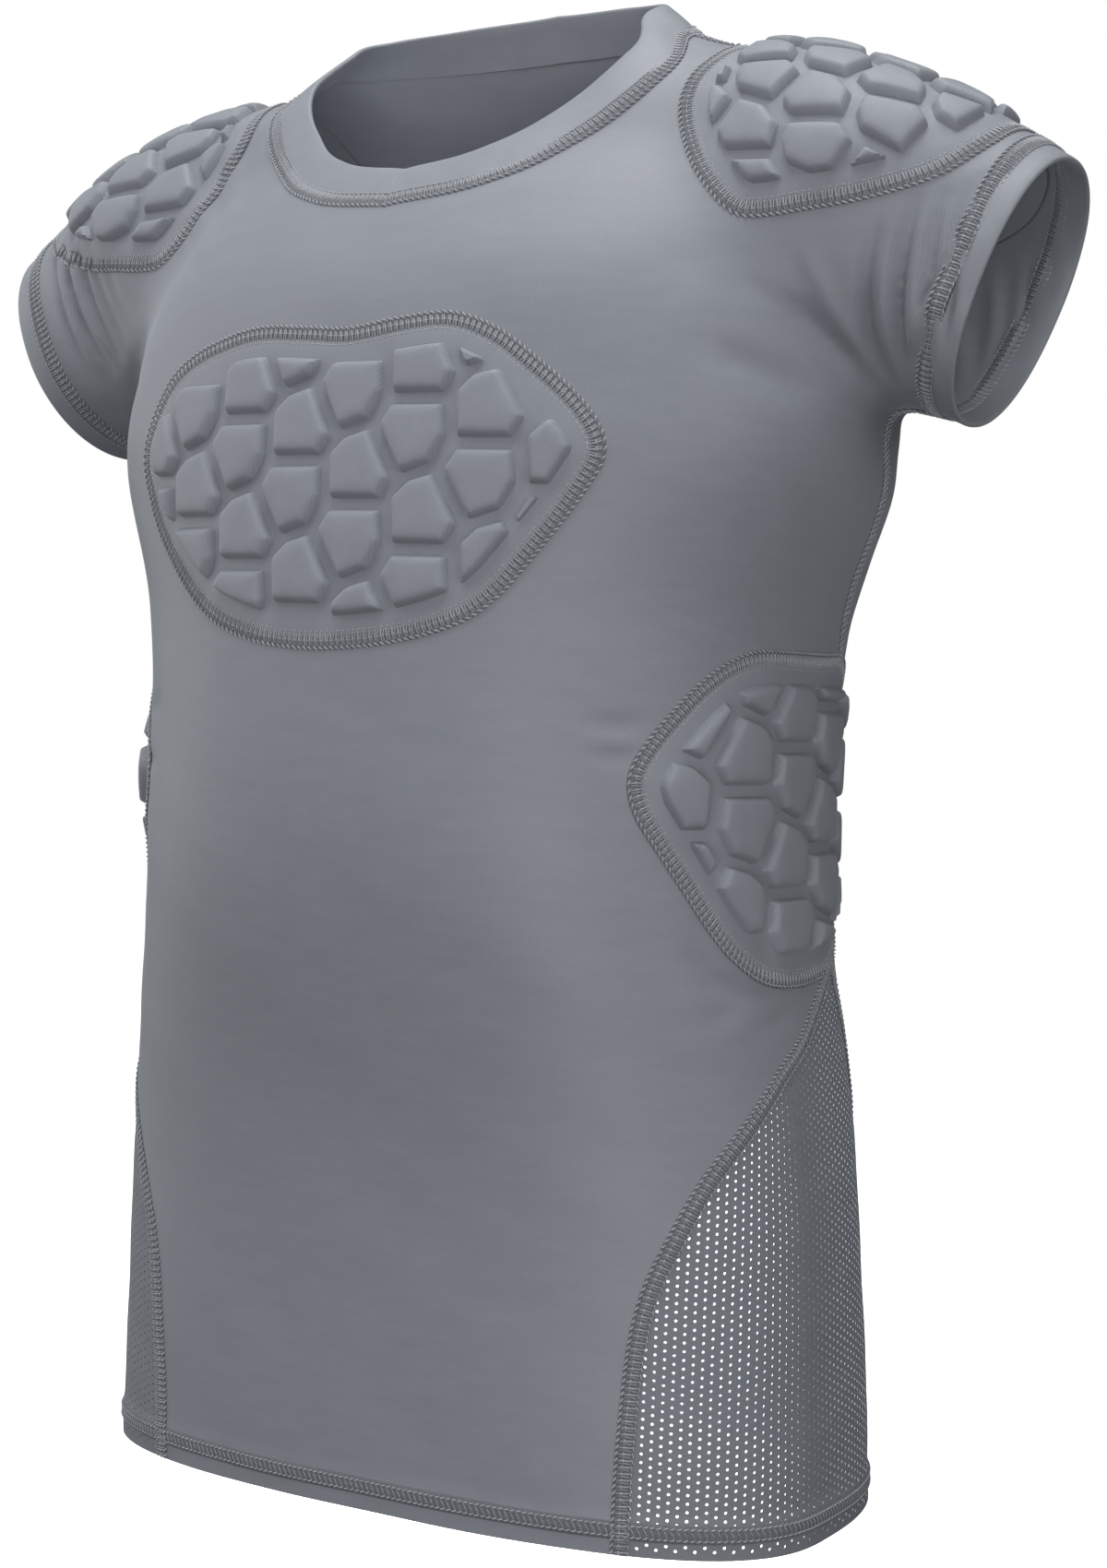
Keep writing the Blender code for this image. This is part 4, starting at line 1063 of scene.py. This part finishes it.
def pad_panel(name, outline, place, lay, side):
    """A padded panel with domed cells. Its outline is flat, and place lays it on the form."""
    if area_of(outline) < 0:
        outline = outline[::-1]
    rings, heights = [outline], [np.zeros(len(outline))]
    feet = cells_in(outline, lay)
    inner, inner_heights = [], []
    for foot in feet:
        for distance, share in CELL_PROFILE:
            ring = shrunk(foot, distance)
            if len(ring) < 3 or area_of(ring) < RING_LEAST_AREA:
                break
            ring = rounded(ring, PAD_STEP)
            if len(ring) < RING_LEAST_POINTS:
                break
            rings.append(ring)
            heights.append(np.full(len(ring), share))
        low, high = foot.min(axis=0), foot.max(axis=0)
        across, up = np.meshgrid(*(np.arange(a, b, SPOT_STEP) for a, b in zip(low, high)))
        spots = np.stack([across.ravel(), up.ravel()], -1)
        spots = spots[in_loop(spots, foot)]
        deep = inside_distance(spots, foot)
        spots = spots[deep > CELL_PROFILE[-1][0] + SPOT_MARGIN]
        inner.append(spots)
        inner_heights.append(np.ones(len(spots)))
    border = np.vstack([shrunk_loop(outline, depth) for depth in BORDER_ROWS])
    inner.append(border)
    inner_heights.append(np.zeros(len(border)))
    flat = np.vstack([*rings, *inner])
    share = np.concatenate([*heights, *inner_heights])
    depth = inside_distance(flat, outline)
    swell = np.clip(depth / SWELL_WIDTH, 0, 1)
    rise = PAD_SWELL * np.sin(swell * np.pi / 2) + CELL_RISE * share
    points = place(flat)
    loop = points[: len(outline)]
    turned = facing(outline, place)
    edge = drawn_in(loop if turned > 0 else loop[::-1], SEAM_GAP / 2)
    points[: len(outline)] = edge if turned > 0 else edge[::-1]
    faces = triangles_of(flat, rings)
    faces = faces[in_loop(flat[faces].mean(axis=1), outline)]
    normal = normals_at(points)
    mirror = np.array((side, 1.0, 1.0))
    points, normal = points * mirror, normal * mirror
    base = dressed(points, normal)
    outer = base + normal * rise[:, None]
    made = finish_mesh(name, outer, base - normal * PAD_BASE, faces, flat, pad_knit)
    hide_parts(name)


def facing(outline, place):
    """Positive when a flat drawing keeps its handedness on the outside of the form."""
    middle = outline.mean(axis=0)
    corner = place(np.array((middle, middle + (TURN_CHECK, 0), middle + (0, TURN_CHECK))))
    up = np.cross(corner[1] - corner[0], corner[2] - corner[0])
    return up @ normals_at(corner[:1])[0]


def band(name, rings, heights, material):
    """A closed band of cloth from rings that run out, over its edge and back inside."""
    count = len(rings[0])
    faces, rows = [], len(rings)
    for row in range(rows):
        below, above = row * count, (row + 1) % rows * count
        for i in range(count):
            nxt = (i + 1) % count
            faces.append((below + i, below + nxt, above + nxt, above + i))
    points = np.vstack(rings)
    corner = points[np.array(faces)]
    up = np.cross(corner[:, 1] - corner[:, 0], corner[:, 3] - corner[:, 0])
    volume = (corner[:, 0] * up).sum()
    if volume < 0:
        faces = [face[::-1] for face in faces]
    girth = np.linalg.norm(np.diff(rings[0], axis=0, append=rings[0][:1]), axis=1)
    round_it = np.concatenate([[0], np.cumsum(girth)[:-1]])
    weave = np.vstack([np.stack([round_it, 0 * round_it + height], -1) for height in heights])
    return made_mesh(name, points, faces, weave, [material], sharp=BAND_SHARP)


# Materials
def node(tree, kind, place, **settings):
    """A shader node with its settings and the values of its sockets."""
    made = tree.nodes.new(kind)
    made.location = place
    for key, value in settings.items():
        if hasattr(made, key) and not isinstance(value, dict):
            setattr(made, key, value)
    for socket, value in settings.get("values", {}).items():
        made.inputs[socket].default_value = value
    return made


def knit(name, colour, rough, sheen, line_depth, streak, slant=0.0):
    """A knitted cloth: fine lines, a mottled colour and a soft bump."""
    made = bpy.data.materials.new(name)
    made.use_nodes = True
    tree = made.node_tree
    surface = tree.nodes["Principled BSDF"]
    surface.inputs["Metallic"].default_value = 0.0
    surface.inputs["Specular IOR Level"].default_value = 0.32
    surface.inputs["Sheen Weight"].default_value = sheen
    surface.inputs["Sheen Roughness"].default_value = 0.45
    surface.inputs["Sheen Tint"].default_value = (0.80, 0.84, 0.92, 1)
    place = node(tree, "ShaderNodeUVMap", (-1100, 0), uv_map="cloth").outputs["UV"]
    object_place = node(tree, "ShaderNodeTexCoord", (-1100, -300)).outputs["Object"]
    turned = node(tree, "ShaderNodeMapping", (-980, 150), values={"Rotation": (0, 0, np.radians(slant))})
    tree.links.new(place, turned.inputs["Vector"])
    waves = node(
        tree,
        "ShaderNodeTexWave",
        (-850, 100),
        wave_type="BANDS",
        bands_direction="X",
        wave_profile="SIN",
        values={"Scale": WAVE_LENGTH / KNIT_LINE, "Distortion": 0.4, "Detail": 1.0, "Detail Scale": 2.0},
    )
    tree.links.new(turned.outputs["Vector"], waves.inputs["Vector"])
    stretch = node(tree, "ShaderNodeMapping", (-900, -300), values={"Scale": streak})
    tree.links.new(object_place, stretch.inputs["Vector"])
    mottle = node(
        tree,
        "ShaderNodeTexNoise",
        (-650, -200),
        values={"Scale": 1.0, "Detail": 4.0, "Roughness": 0.6},
    )
    tree.links.new(stretch.outputs["Vector"], mottle.inputs["Vector"])
    fine = node(tree, "ShaderNodeTexNoise", (-650, -450), values={"Scale": 1400.0, "Detail": 2.0})
    tree.links.new(object_place, fine.inputs["Vector"])
    tone = node(tree, "ShaderNodeValToRGB", (-420, -200))
    dark, light = (tuple(c * k for c in colour) + (1,) for k in MOTTLE_TONES)
    tone.color_ramp.elements[0].color = dark
    tone.color_ramp.elements[0].position = 0.30
    tone.color_ramp.elements[1].color = light
    tone.color_ramp.elements[1].position = 0.72
    tree.links.new(mottle.outputs["Fac"], tone.inputs["Fac"])
    shade = node(
        tree, "ShaderNodeMix", (-200, 0), data_type="RGBA", blend_type="MULTIPLY", values={0: WAVE_SHARE}
    )
    tree.links.new(tone.outputs["Color"], shade.inputs["A"])
    tree.links.new(waves.outputs["Color"], shade.inputs["B"])
    tree.links.new(shade.outputs["Result"], surface.inputs["Base Color"])
    limits = {"To Min": rough - ROUGH_SPREAD, "To Max": rough + ROUGH_SPREAD}
    gloss = node(tree, "ShaderNodeMapRange", (-200, -260), values=limits)
    tree.links.new(mottle.outputs["Fac"], gloss.inputs["Value"])
    tree.links.new(gloss.outputs["Result"], surface.inputs["Roughness"])
    grain = node(
        tree, "ShaderNodeBump", (-200, -600), values={"Strength": 0.35, "Distance": 0.00012}
    )
    tree.links.new(fine.outputs["Fac"], grain.inputs["Height"])
    ribs = node(
        tree, "ShaderNodeBump", (0, -500), values={"Strength": 0.6, "Distance": line_depth}
    )
    tree.links.new(waves.outputs["Fac"], ribs.inputs["Height"])
    tree.links.new(grain.outputs["Normal"], ribs.inputs["Normal"])
    tree.links.new(ribs.outputs["Normal"], surface.inputs["Normal"])
    return made


def yarn(name, colour, rough):
    """Sewing thread: fine slanting plies across it."""
    made = bpy.data.materials.new(name)
    made.use_nodes = True
    tree = made.node_tree
    surface = tree.nodes["Principled BSDF"]
    surface.inputs["Specular IOR Level"].default_value = 0.35
    surface.inputs["Sheen Weight"].default_value = 0.15
    surface.inputs["Roughness"].default_value = rough
    place = node(tree, "ShaderNodeTexCoord", (-900, 0)).outputs["Object"]
    plies = node(tree, "ShaderNodeTexNoise", (-650, 0), values={"Scale": 2600.0, "Detail": 2.0})
    tree.links.new(place, plies.inputs["Vector"])
    tone = node(tree, "ShaderNodeValToRGB", (-400, 0))
    tone.color_ramp.elements[0].color = tuple(c * PLY_TONES[0] for c in colour) + (1,)
    tone.color_ramp.elements[0].position = 0.35
    tone.color_ramp.elements[1].color = tuple(c * PLY_TONES[1] for c in colour) + (1,)
    tone.color_ramp.elements[1].position = 0.65
    tree.links.new(plies.outputs["Fac"], tone.inputs["Fac"])
    tree.links.new(tone.outputs["Color"], surface.inputs["Base Color"])
    bump = node(tree, "ShaderNodeBump", (-200, -300), values={"Strength": 0.5, "Distance": 0.00008})
    tree.links.new(plies.outputs["Fac"], bump.inputs["Height"])
    tree.links.new(bump.outputs["Normal"], surface.inputs["Normal"])
    return made


BODY_COLOUR = (0.235, 0.250, 0.280)
PAD_COLOUR = (0.245, 0.260, 0.291)
BAND_COLOUR = (0.245, 0.261, 0.291)
NET_COLOUR = (0.195, 0.208, 0.233)
THREAD_COLOUR = (0.370, 0.386, 0.420)
# The seam tape's dark colour is painted shade: it stands in for the shade that falls between the threads
# of the seams.
SEAM_PAINTED_SHADE = (0.150, 0.160, 0.182)
KNIT_LINE = 0.0008
# The length of one wave of the wave texture at scale 1
WAVE_LENGTH = 2 * np.pi / 20
# Shares of a colour that its mottle and its plies run between, and how much the knit's lines show
MOTTLE_TONES = (0.96, 1.04)
PLY_TONES = (0.72, 1.15)
WAVE_SHARE = 0.06
ROUGH_SPREAD = 0.07
body_knit = knit("body_knit", BODY_COLOUR, 0.52, 0.22, 0.00002, (60, 60, 240))
pad_knit = knit("pad_knit", PAD_COLOUR, 0.55, 0.20, 0.00008, (90, 90, 90), 20.0)
band_knit = knit("band_knit", BAND_COLOUR, 0.50, 0.22, 0.00003, (90, 90, 160))
net_knit = knit("net_knit", NET_COLOUR, 0.60, 0.15, 0.00005, (160, 160, 300))
thread = yarn("thread", THREAD_COLOUR, 0.58)
# Seam tape material: a dark colour painted as the shade under and between the threads.
seam_shade_paint = yarn("seam_tape_painted_shade", SEAM_PAINTED_SHADE, 0.75)


# Sewing: each kind of seam is a list of threads in one stitch, on the seam's own axes
# (along in stitches, across in metres, up in metres) for each point, then the thread's radius
FLATLOCK = (
    (((-0.42, 0.0021, 0.0003), (0.0, 0.0027, 0.0008), (0.42, 0.0033, 0.0002)), 0.00036),
    (((-0.14, -0.0027, 0.0003), (-0.12, -0.0003, 0.0007), (0.04, 0.0020, 0.0004)), 0.00032),
    (((0.34, -0.0025, 0.0002), (0.26, -0.0004, 0.0006), (0.34, 0.0018, 0.0003)), 0.00024),
    (((-0.40, -0.0029, 0.0002), (0.05, -0.0033, 0.0006), (0.44, -0.0030, 0.0002)), 0.00028),
    (((-0.44, 0.0002, 0.0005), (0.0, 0.0000, 0.0009), (0.40, 0.0002, 0.0005)), 0.00022),
)
COVERSTITCH = (
    (((-0.42, 0.0022, 0.0003), (0.0, 0.0020, 0.0007), (0.42, 0.0016, 0.0003)), 0.00032),
    (((-0.42, -0.0016, 0.0003), (0.0, -0.0020, 0.0007), (0.42, -0.0022, 0.0003)), 0.00032),
    (((-0.30, -0.0014, 0.0003), (0.10, 0.0, 0.0006), (0.30, 0.0014, 0.0003)), 0.00022),
)
BAND_PROFILE = ((-1.0, -0.0001), (-0.82, 0.00030), (0.0, 0.00042), (0.82, 0.00030), (1.0, -0.0001))


def even_steps(line, pitch, closed):
    """Points of a line one stitch apart, and the directions along it."""
    if closed:
        line = np.vstack([line, line[:1]])
    sides = np.linalg.norm(np.diff(line, axis=0), axis=1)
    lengths = np.concatenate([[0], np.cumsum(sides)])
    count = max(2, round(lengths[-1] / pitch))
    places = (np.arange(count) + (0.0 if closed else 0.5)) / count * lengths[-1]
    points = np.stack([np.interp(places, lengths, line[:, k]) for k in range(3)], -1)
    ends = []
    for shift in (AHEAD_SHARE * pitch, -AHEAD_SHARE * pitch):
        moved = np.clip(places + shift, 0, lengths[-1])
        ends.append(np.stack([np.interp(moved, lengths, line[:, k]) for k in range(3)], -1))
    return points, ends[0] - ends[1], lengths[-1] / count


def stitches(name, lines, kind, inside=0.0):
    """All the threads along some seams, on a narrow band painted dark as the shade between them, as one
    mesh.
    """
    points, faces, kinds, total = [], [], [], 0
    corner = np.arange(THREAD_SIDES) * 2 * np.pi / THREAD_SIDES
    for line, closed in lines:
        place, along_it, pitch = even_steps(line, STITCH_PITCH, closed)
        up = normals_at(place)
        place = dressed(place, up)
        if inside:
            place, up = place - up * inside, -up
        ahead = along_it - (along_it * up).sum(axis=1, keepdims=True) * up
        ahead = ahead / np.linalg.norm(ahead, axis=1, keepdims=True)
        across = np.cross(ahead, up)
        count = len(place)
        profile = np.array(BAND_PROFILE)
        # The strip under the threads takes the second material, whose dark colour is painted shade
        # between the threads.
        strip = (
            place[:, None]
            + across[:, None] * profile[:, :1] * BAND_HALF
            + up[:, None] * profile[:, 1:]
        )
        width = len(profile)
        points.append(strip.reshape(-1, 3))
        for i in range(count if closed else count - 1):
            here, there = total + i * width, total + (i + 1) % count * width
            for k in range(width - 1):
                faces.append((here + k, here + k + 1, there + k + 1, there + k))
                kinds.append(1)
        total += count * width
        for way, radius in kind:
            way = np.array(way)
            centre = (
                place[:, None]
                + ahead[:, None] * way[:, :1] * pitch
                + across[:, None] * way[:, 1:2]
                + up[:, None] * way[:, 2:]
            )
            run = np.gradient(centre, axis=1)
            run = run / np.linalg.norm(run, axis=2, keepdims=True)
            side = np.cross(run, up[:, None])
            side = side / np.linalg.norm(side, axis=2, keepdims=True)
            rise = np.cross(side, run)
            taper = np.array(THREAD_TAPER)[None, :, None, None] * radius
            tube = (
                centre[:, :, None]
                + side[:, :, None] * np.cos(corner)[:, None] * taper
                + rise[:, :, None] * np.sin(corner)[:, None] * taper
            )
            knots = len(way)
            points.append(tube.reshape(-1, 3))
            for i in range(count):
                start = total + i * knots * THREAD_SIDES
                for k in range(knots - 1):
                    row = start + k * THREAD_SIDES
                    for s in range(THREAD_SIDES):
                        t = (s + 1) % THREAD_SIDES
                        faces.append((row + s, row + t, row + THREAD_SIDES + t, row + THREAD_SIDES + s))
                faces.append(tuple(start + s for s in range(THREAD_SIDES))[::-1])
                last = start + (knots - 1) * THREAD_SIDES
                faces.append(tuple(last + s for s in range(THREAD_SIDES)))
                kinds += [0] * ((knots - 1) * THREAD_SIDES + 2)
            total += count * knots * THREAD_SIDES
    points = np.vstack(points)
    made_mesh(name, points, faces, points[:, :2] * 0, [thread, seam_shade_paint], kinds=kinds)


# Outlines and seams, as in the CAD but with finer steps
chest_flat = smooth_line(CHEST_OUTLINE, LINE_STEP, closed=True)[0]
rib_rows = np.array(RIB_OUTLINE)
rib_flat, rib_knots = smooth_line(rib_rows[:, :2], LINE_STEP, closed=True)
rib_top = rib_knots[int(np.argmax(rib_rows[:, 2] == 1))]
rib_foot = rib_knots[int(np.argmax(rib_rows[:, 2] == 2))]
half = np.array(SHOULDER_OUTLINE)
shoulder_rows = np.vstack([half, (half * (1, -1))[-2:0:-1]])
shoulder_flat, shoulder_knots = smooth_line(shoulder_rows, LINE_STEP, closed=True)
shoulder_end = shoulder_knots[len(half) - 1]

chest_loop = chest_place(chest_flat)
rib_loop = rib_place(rib_flat)
shoulder_loop = shoulder_place(shoulder_flat)
rib_front = rib_loop[rib_top : rib_foot + 1]
rib_back = np.vstack([rib_loop[rib_foot:], rib_loop[: rib_top + 1]])
shoulder_front = shoulder_loop[: shoulder_end + 1]
shoulder_back = np.vstack([shoulder_loop[shoulder_end:], shoulder_loop[:1]])

cuff_seam = cuff_loop(CUFF_SEAM)
cuff_front = cuff_seam[: CUFF_POINTS // 2 + 1]
cuff_back = np.vstack([cuff_seam[CUFF_POINTS // 2 :], cuff_seam[:1]])
collar_seam, collar_rise = collar_loop()
neck_corner = round(SHOULDER_SEAM_TURN / 360 * LOOP_POINTS)
neck_seam = seam_on_form((), collar_seam[neck_corner], shoulder_loop[0])
cap_seam = seam_on_form((), shoulder_loop[shoulder_end], cuff_front[0])
side_seam = seam_on_form(SIDE_SEAM, cuff_front[-1], rib_front[0])
mesh_front = seam_on_form(MESH_FRONT, first=rib_front[-1])
mesh_back = seam_on_form(MESH_BACK, first=rib_front[-1])


def hem_line(start, end):
    """Points of the hem between two turns, in degrees."""
    return seam_on_form(((start, HEM_LEVEL), (end, HEM_LEVEL)))


hem_front = hem_line(MESH_FRONT[-1][0], 0)
hem_side = hem_line(MESH_FRONT[-1][0], MESH_BACK[-1][0])
hem_back = hem_line(MESH_BACK[-1][0], 180)

# Front and back
down = (neck_seam, shoulder_front, cap_seam, cuff_front, side_seam, rib_front, mesh_front, hem_front)
half_loop = np.vstack([line[:-1] for line in down])
collar_front = np.vstack([collar_seam[LOOP_POINTS - neck_corner + 1 :], collar_seam[:neck_corner]])
front_loop = np.vstack([half_loop, hem_front[-1:], mirrored(half_loop), collar_front])
front = cloth_panel("front_cloth", [front_loop[::-1], chest_loop], 0.0, body_knit)
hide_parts("front")

down = (
    neck_seam,
    shoulder_back[::-1],
    cap_seam,
    cuff_back[::-1],
    side_seam,
    rib_back[::-1],
    mesh_back,
    hem_back,
)
half_loop = np.vstack([line[:-1] for line in down])
collar_back = collar_seam[neck_corner + 1 : LOOP_POINTS - neck_corner][::-1]
back_loop = np.vstack([half_loop, hem_back[-1:], mirrored(half_loop), collar_back])
back = cloth_panel("back_cloth", [back_loop], np.pi, body_knit)
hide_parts("back")

# Net panels, pads and cuffs of each side
mesh_loop = np.vstack([mesh_front[:-1], hem_side[:-1], mesh_back[:0:-1]])
cuffs, nets = {}, {}


def over_an_edge(low, high, count):
    """The steps of a band's rings: up its outside, over its rounded edge and back down inside."""
    steps = [(height, 0.0) for height in np.linspace(low, high - EDGE_ROUND, count)]
    steps += [(high - EDGE_DROP, EDGE_DROP), (high, EDGE_ROUND), (high - EDGE_DROP, BAND - EDGE_DROP)]
    return steps + [(height, BAND) for height in np.linspace(high - EDGE_ROUND, low, count - 1)]


def cuff_band(name, side):
    """A cuff: out along the sleeve, over its rounded edge and back inside."""
    steps = over_an_edge(CUFF_SEAM + SEAM_GAP / 2, CUFF_EDGE, 6)
    rings = []
    mirror = np.array((side, 1.0, 1.0))
    for distance, depth in steps:
        ring = cuff_loop(distance)
        normal = normals_at(ring)
        ring, normal = ring * mirror, normal * mirror
        rings.append(dressed(ring, normal) - normal * depth)
    heights = [distance for distance, depth in steps]
    return band(name, rings, heights, band_knit)


def collar_band():
    """The collar: up from the neck seam, over its rounded edge and back down inside."""
    ahead = np.roll(collar_seam, -1, axis=0) - np.roll(collar_seam, 1, axis=0)
    outwards = np.cross(ahead, collar_rise)
    outwards = outwards / np.linalg.norm(outwards, axis=1, keepdims=True)
    steps = over_an_edge(SEAM_GAP, COLLAR_HEIGHT, 7)
    rings = []
    start = dressed(collar_seam, normals_at(collar_seam))
    for height, depth in steps:
        share = np.clip(height / COLLAR_HEIGHT, 0, 1)
        fullness = COLLAR_FULLNESS * np.sin(np.pi * share)
        fade = 1 - share
        foot = collar_seam * (1 - fade) + start * fade
        rings.append(foot + collar_rise * height + outwards * (fullness - depth))
    return band("collar_band", rings, [height for height, depth in steps], band_knit)


for side_name, side in (("left", 1.0), ("right", -1.0)):
    net = net_panel("net_" + side_name, mesh_loop, net_knit, side)
    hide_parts("mesh_" + side_name)
    nets[side_name] = net
    rib_name, shoulder_name = "rib_pad_" + side_name, "shoulder_pad_" + side_name
    pad_panel(rib_name, rib_flat, rib_place, RIB_CELLS, side)
    pad_panel(shoulder_name, shoulder_flat, shoulder_place, SHOULDER_CELLS, side)
    cuff = cuff_band("cuff_band_" + side_name, side)
    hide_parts("cuff_" + side_name)
    cuffs[side_name] = cuff
pad_panel("chest_pad", chest_flat, chest_place, CHEST_CELLS, 1.0)
collar = collar_band()
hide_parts("collar")


def outwards_left(loop):
    """A closed loop in the order that keeps its inside on the left, seen from outside the shirt."""
    ahead = np.roll(loop, -1, axis=0) - np.roll(loop, 1, axis=0)
    inwards = np.cross(normals_at(loop), ahead)
    return loop if (inwards * (loop.mean(axis=0) - loop)).sum() > 0 else loop[::-1]


def both_sides(*loops):
    """Each line, and its mirror image on the other side."""
    return [made for loop, closed in loops for made in ((loop, closed), (mirrored(loop), closed))]


chest_line = outwards_left(chest_loop)
rib_line = outwards_left(rib_loop)
shoulder_line = outwards_left(shoulder_loop)
stitches("stitches_chest", [(chest_line, True)], FLATLOCK)
stitches("stitches_ribs", both_sides((rib_line, True)), FLATLOCK)
stitches("stitches_shoulders", both_sides((shoulder_line, True)), FLATLOCK)
stitches("stitches_collar", [(collar_seam, True)], FLATLOCK)
stitches("stitches_cuffs", both_sides((cuff_seam, True)), FLATLOCK)
stitches("stitches_cuffs_inside", both_sides((cuff_seam, True)), FLATLOCK, CLOTH)
sides = both_sides((neck_seam, False), (cap_seam, False), (side_seam, False))
stitches("stitches_sides", sides, FLATLOCK)
nets_lines = both_sides((mesh_front, False), (mesh_back, False))
stitches("stitches_nets", nets_lines, FLATLOCK)
hem_turns = np.linspace(0, 2 * np.pi, TAPE_POINTS, endpoint=False)
hem_ring = on_form(hem_turns, HEM_LEVEL + HEM_STITCHES)
stitches("stitches_hem", [(hem_ring, True)], COVERSTITCH)

# Floor, camera and lights
white = bpy.data.materials.new("floor")
white.use_nodes = True
surface = white.node_tree.nodes["Principled BSDF"]
surface.inputs["Base Color"].default_value = (0.9, 0.9, 0.9, 1)
surface.inputs["Roughness"].default_value = 0.9
surface.inputs["Emission Color"].default_value = (1, 1, 1, 1)
surface.inputs["Emission Strength"].default_value = 1.0
bpy.ops.mesh.primitive_circle_add(
    vertices=96, radius=FLOOR_RADIUS, fill_type="NGON", location=(0, 0, FLOOR_LEVEL)
)
floor = bpy.context.object
floor.name = "floor"
floor.data.materials.append(white)
floor.visible_diffuse = False
floor.visible_glossy = False

turn, rise, roll = (np.radians(angle) for angle in (CAMERA_TURN, CAMERA_RISE, CAMERA_ROLL))
away = Vector((np.sin(turn) * np.cos(rise), -np.cos(turn) * np.cos(rise), np.sin(rise)))
right = Vector((0, 0, 1)).cross(away).normalized()
up = away.cross(right)
across = right * np.cos(roll) + up * np.sin(roll)
upward = up * np.cos(roll) - right * np.sin(roll)
place = right * CAMERA_ACROSS + Vector((0, 0, CAMERA_UP)) + away * CAMERA_DISTANCE
lens = bpy.data.cameras.new("camera")
lens.lens = CAMERA_LENS
lens.sensor_width = CAMERA_SENSOR
camera = bpy.data.objects.new("camera", lens)
axes = Matrix((across, upward, away)).transposed().to_4x4()
camera.matrix_world = Matrix.Translation(place) @ axes
bpy.context.scene.collection.objects.link(camera)
bpy.context.scene.camera = camera


def soft_light(name, place, target, size, power):
    """A square soft light that faces a target."""
    data = bpy.data.lights.new(name, "AREA")
    data.shape = "SQUARE"
    data.size = size
    data.energy = power
    lamp = bpy.data.objects.new(name, data)
    lamp.location = place
    way = Vector(place) - Vector(target)
    lamp.rotation_euler = way.to_track_quat("Z", "Y").to_euler()
    lamp.visible_camera = False
    bpy.context.scene.collection.objects.link(lamp)
    return lamp


for name, place, size, power in LIGHTS:
    soft_light(name, place, LIT_POINT, size, power)
place, width, height, power = INSIDE_LAMP
inside = soft_light("inside", place, (place[0], 1.0, place[2]), width, power)
inside.data.shape = "RECTANGLE"
inside.data.size_y = height

world = bpy.data.worlds.new("studio")
bpy.context.scene.world = world
world.use_nodes = True
tree = world.node_tree
tree.nodes.clear()
rays = tree.nodes.new("ShaderNodeLightPath")
seen = tree.nodes.new("ShaderNodeBackground")
seen.inputs["Color"].default_value = (1, 1, 1, 1)
seen.inputs["Strength"].default_value = 1.0
lit = tree.nodes.new("ShaderNodeBackground")
lit.inputs["Color"].default_value = (0.95, 0.97, 1.0, 1)
lit.inputs["Strength"].default_value = WORLD_POWER
choose = tree.nodes.new("ShaderNodeMixShader")
ends = tree.nodes.new("ShaderNodeOutputWorld")
tree.links.new(rays.outputs["Is Camera Ray"], choose.inputs["Fac"])
tree.links.new(lit.outputs["Background"], choose.inputs[1])
tree.links.new(seen.outputs["Background"], choose.inputs[2])
tree.links.new(choose.outputs["Shader"], ends.inputs["Surface"])
bpy.context.scene.view_settings.view_transform = "Standard"
bpy.context.scene.view_settings.look = "None"
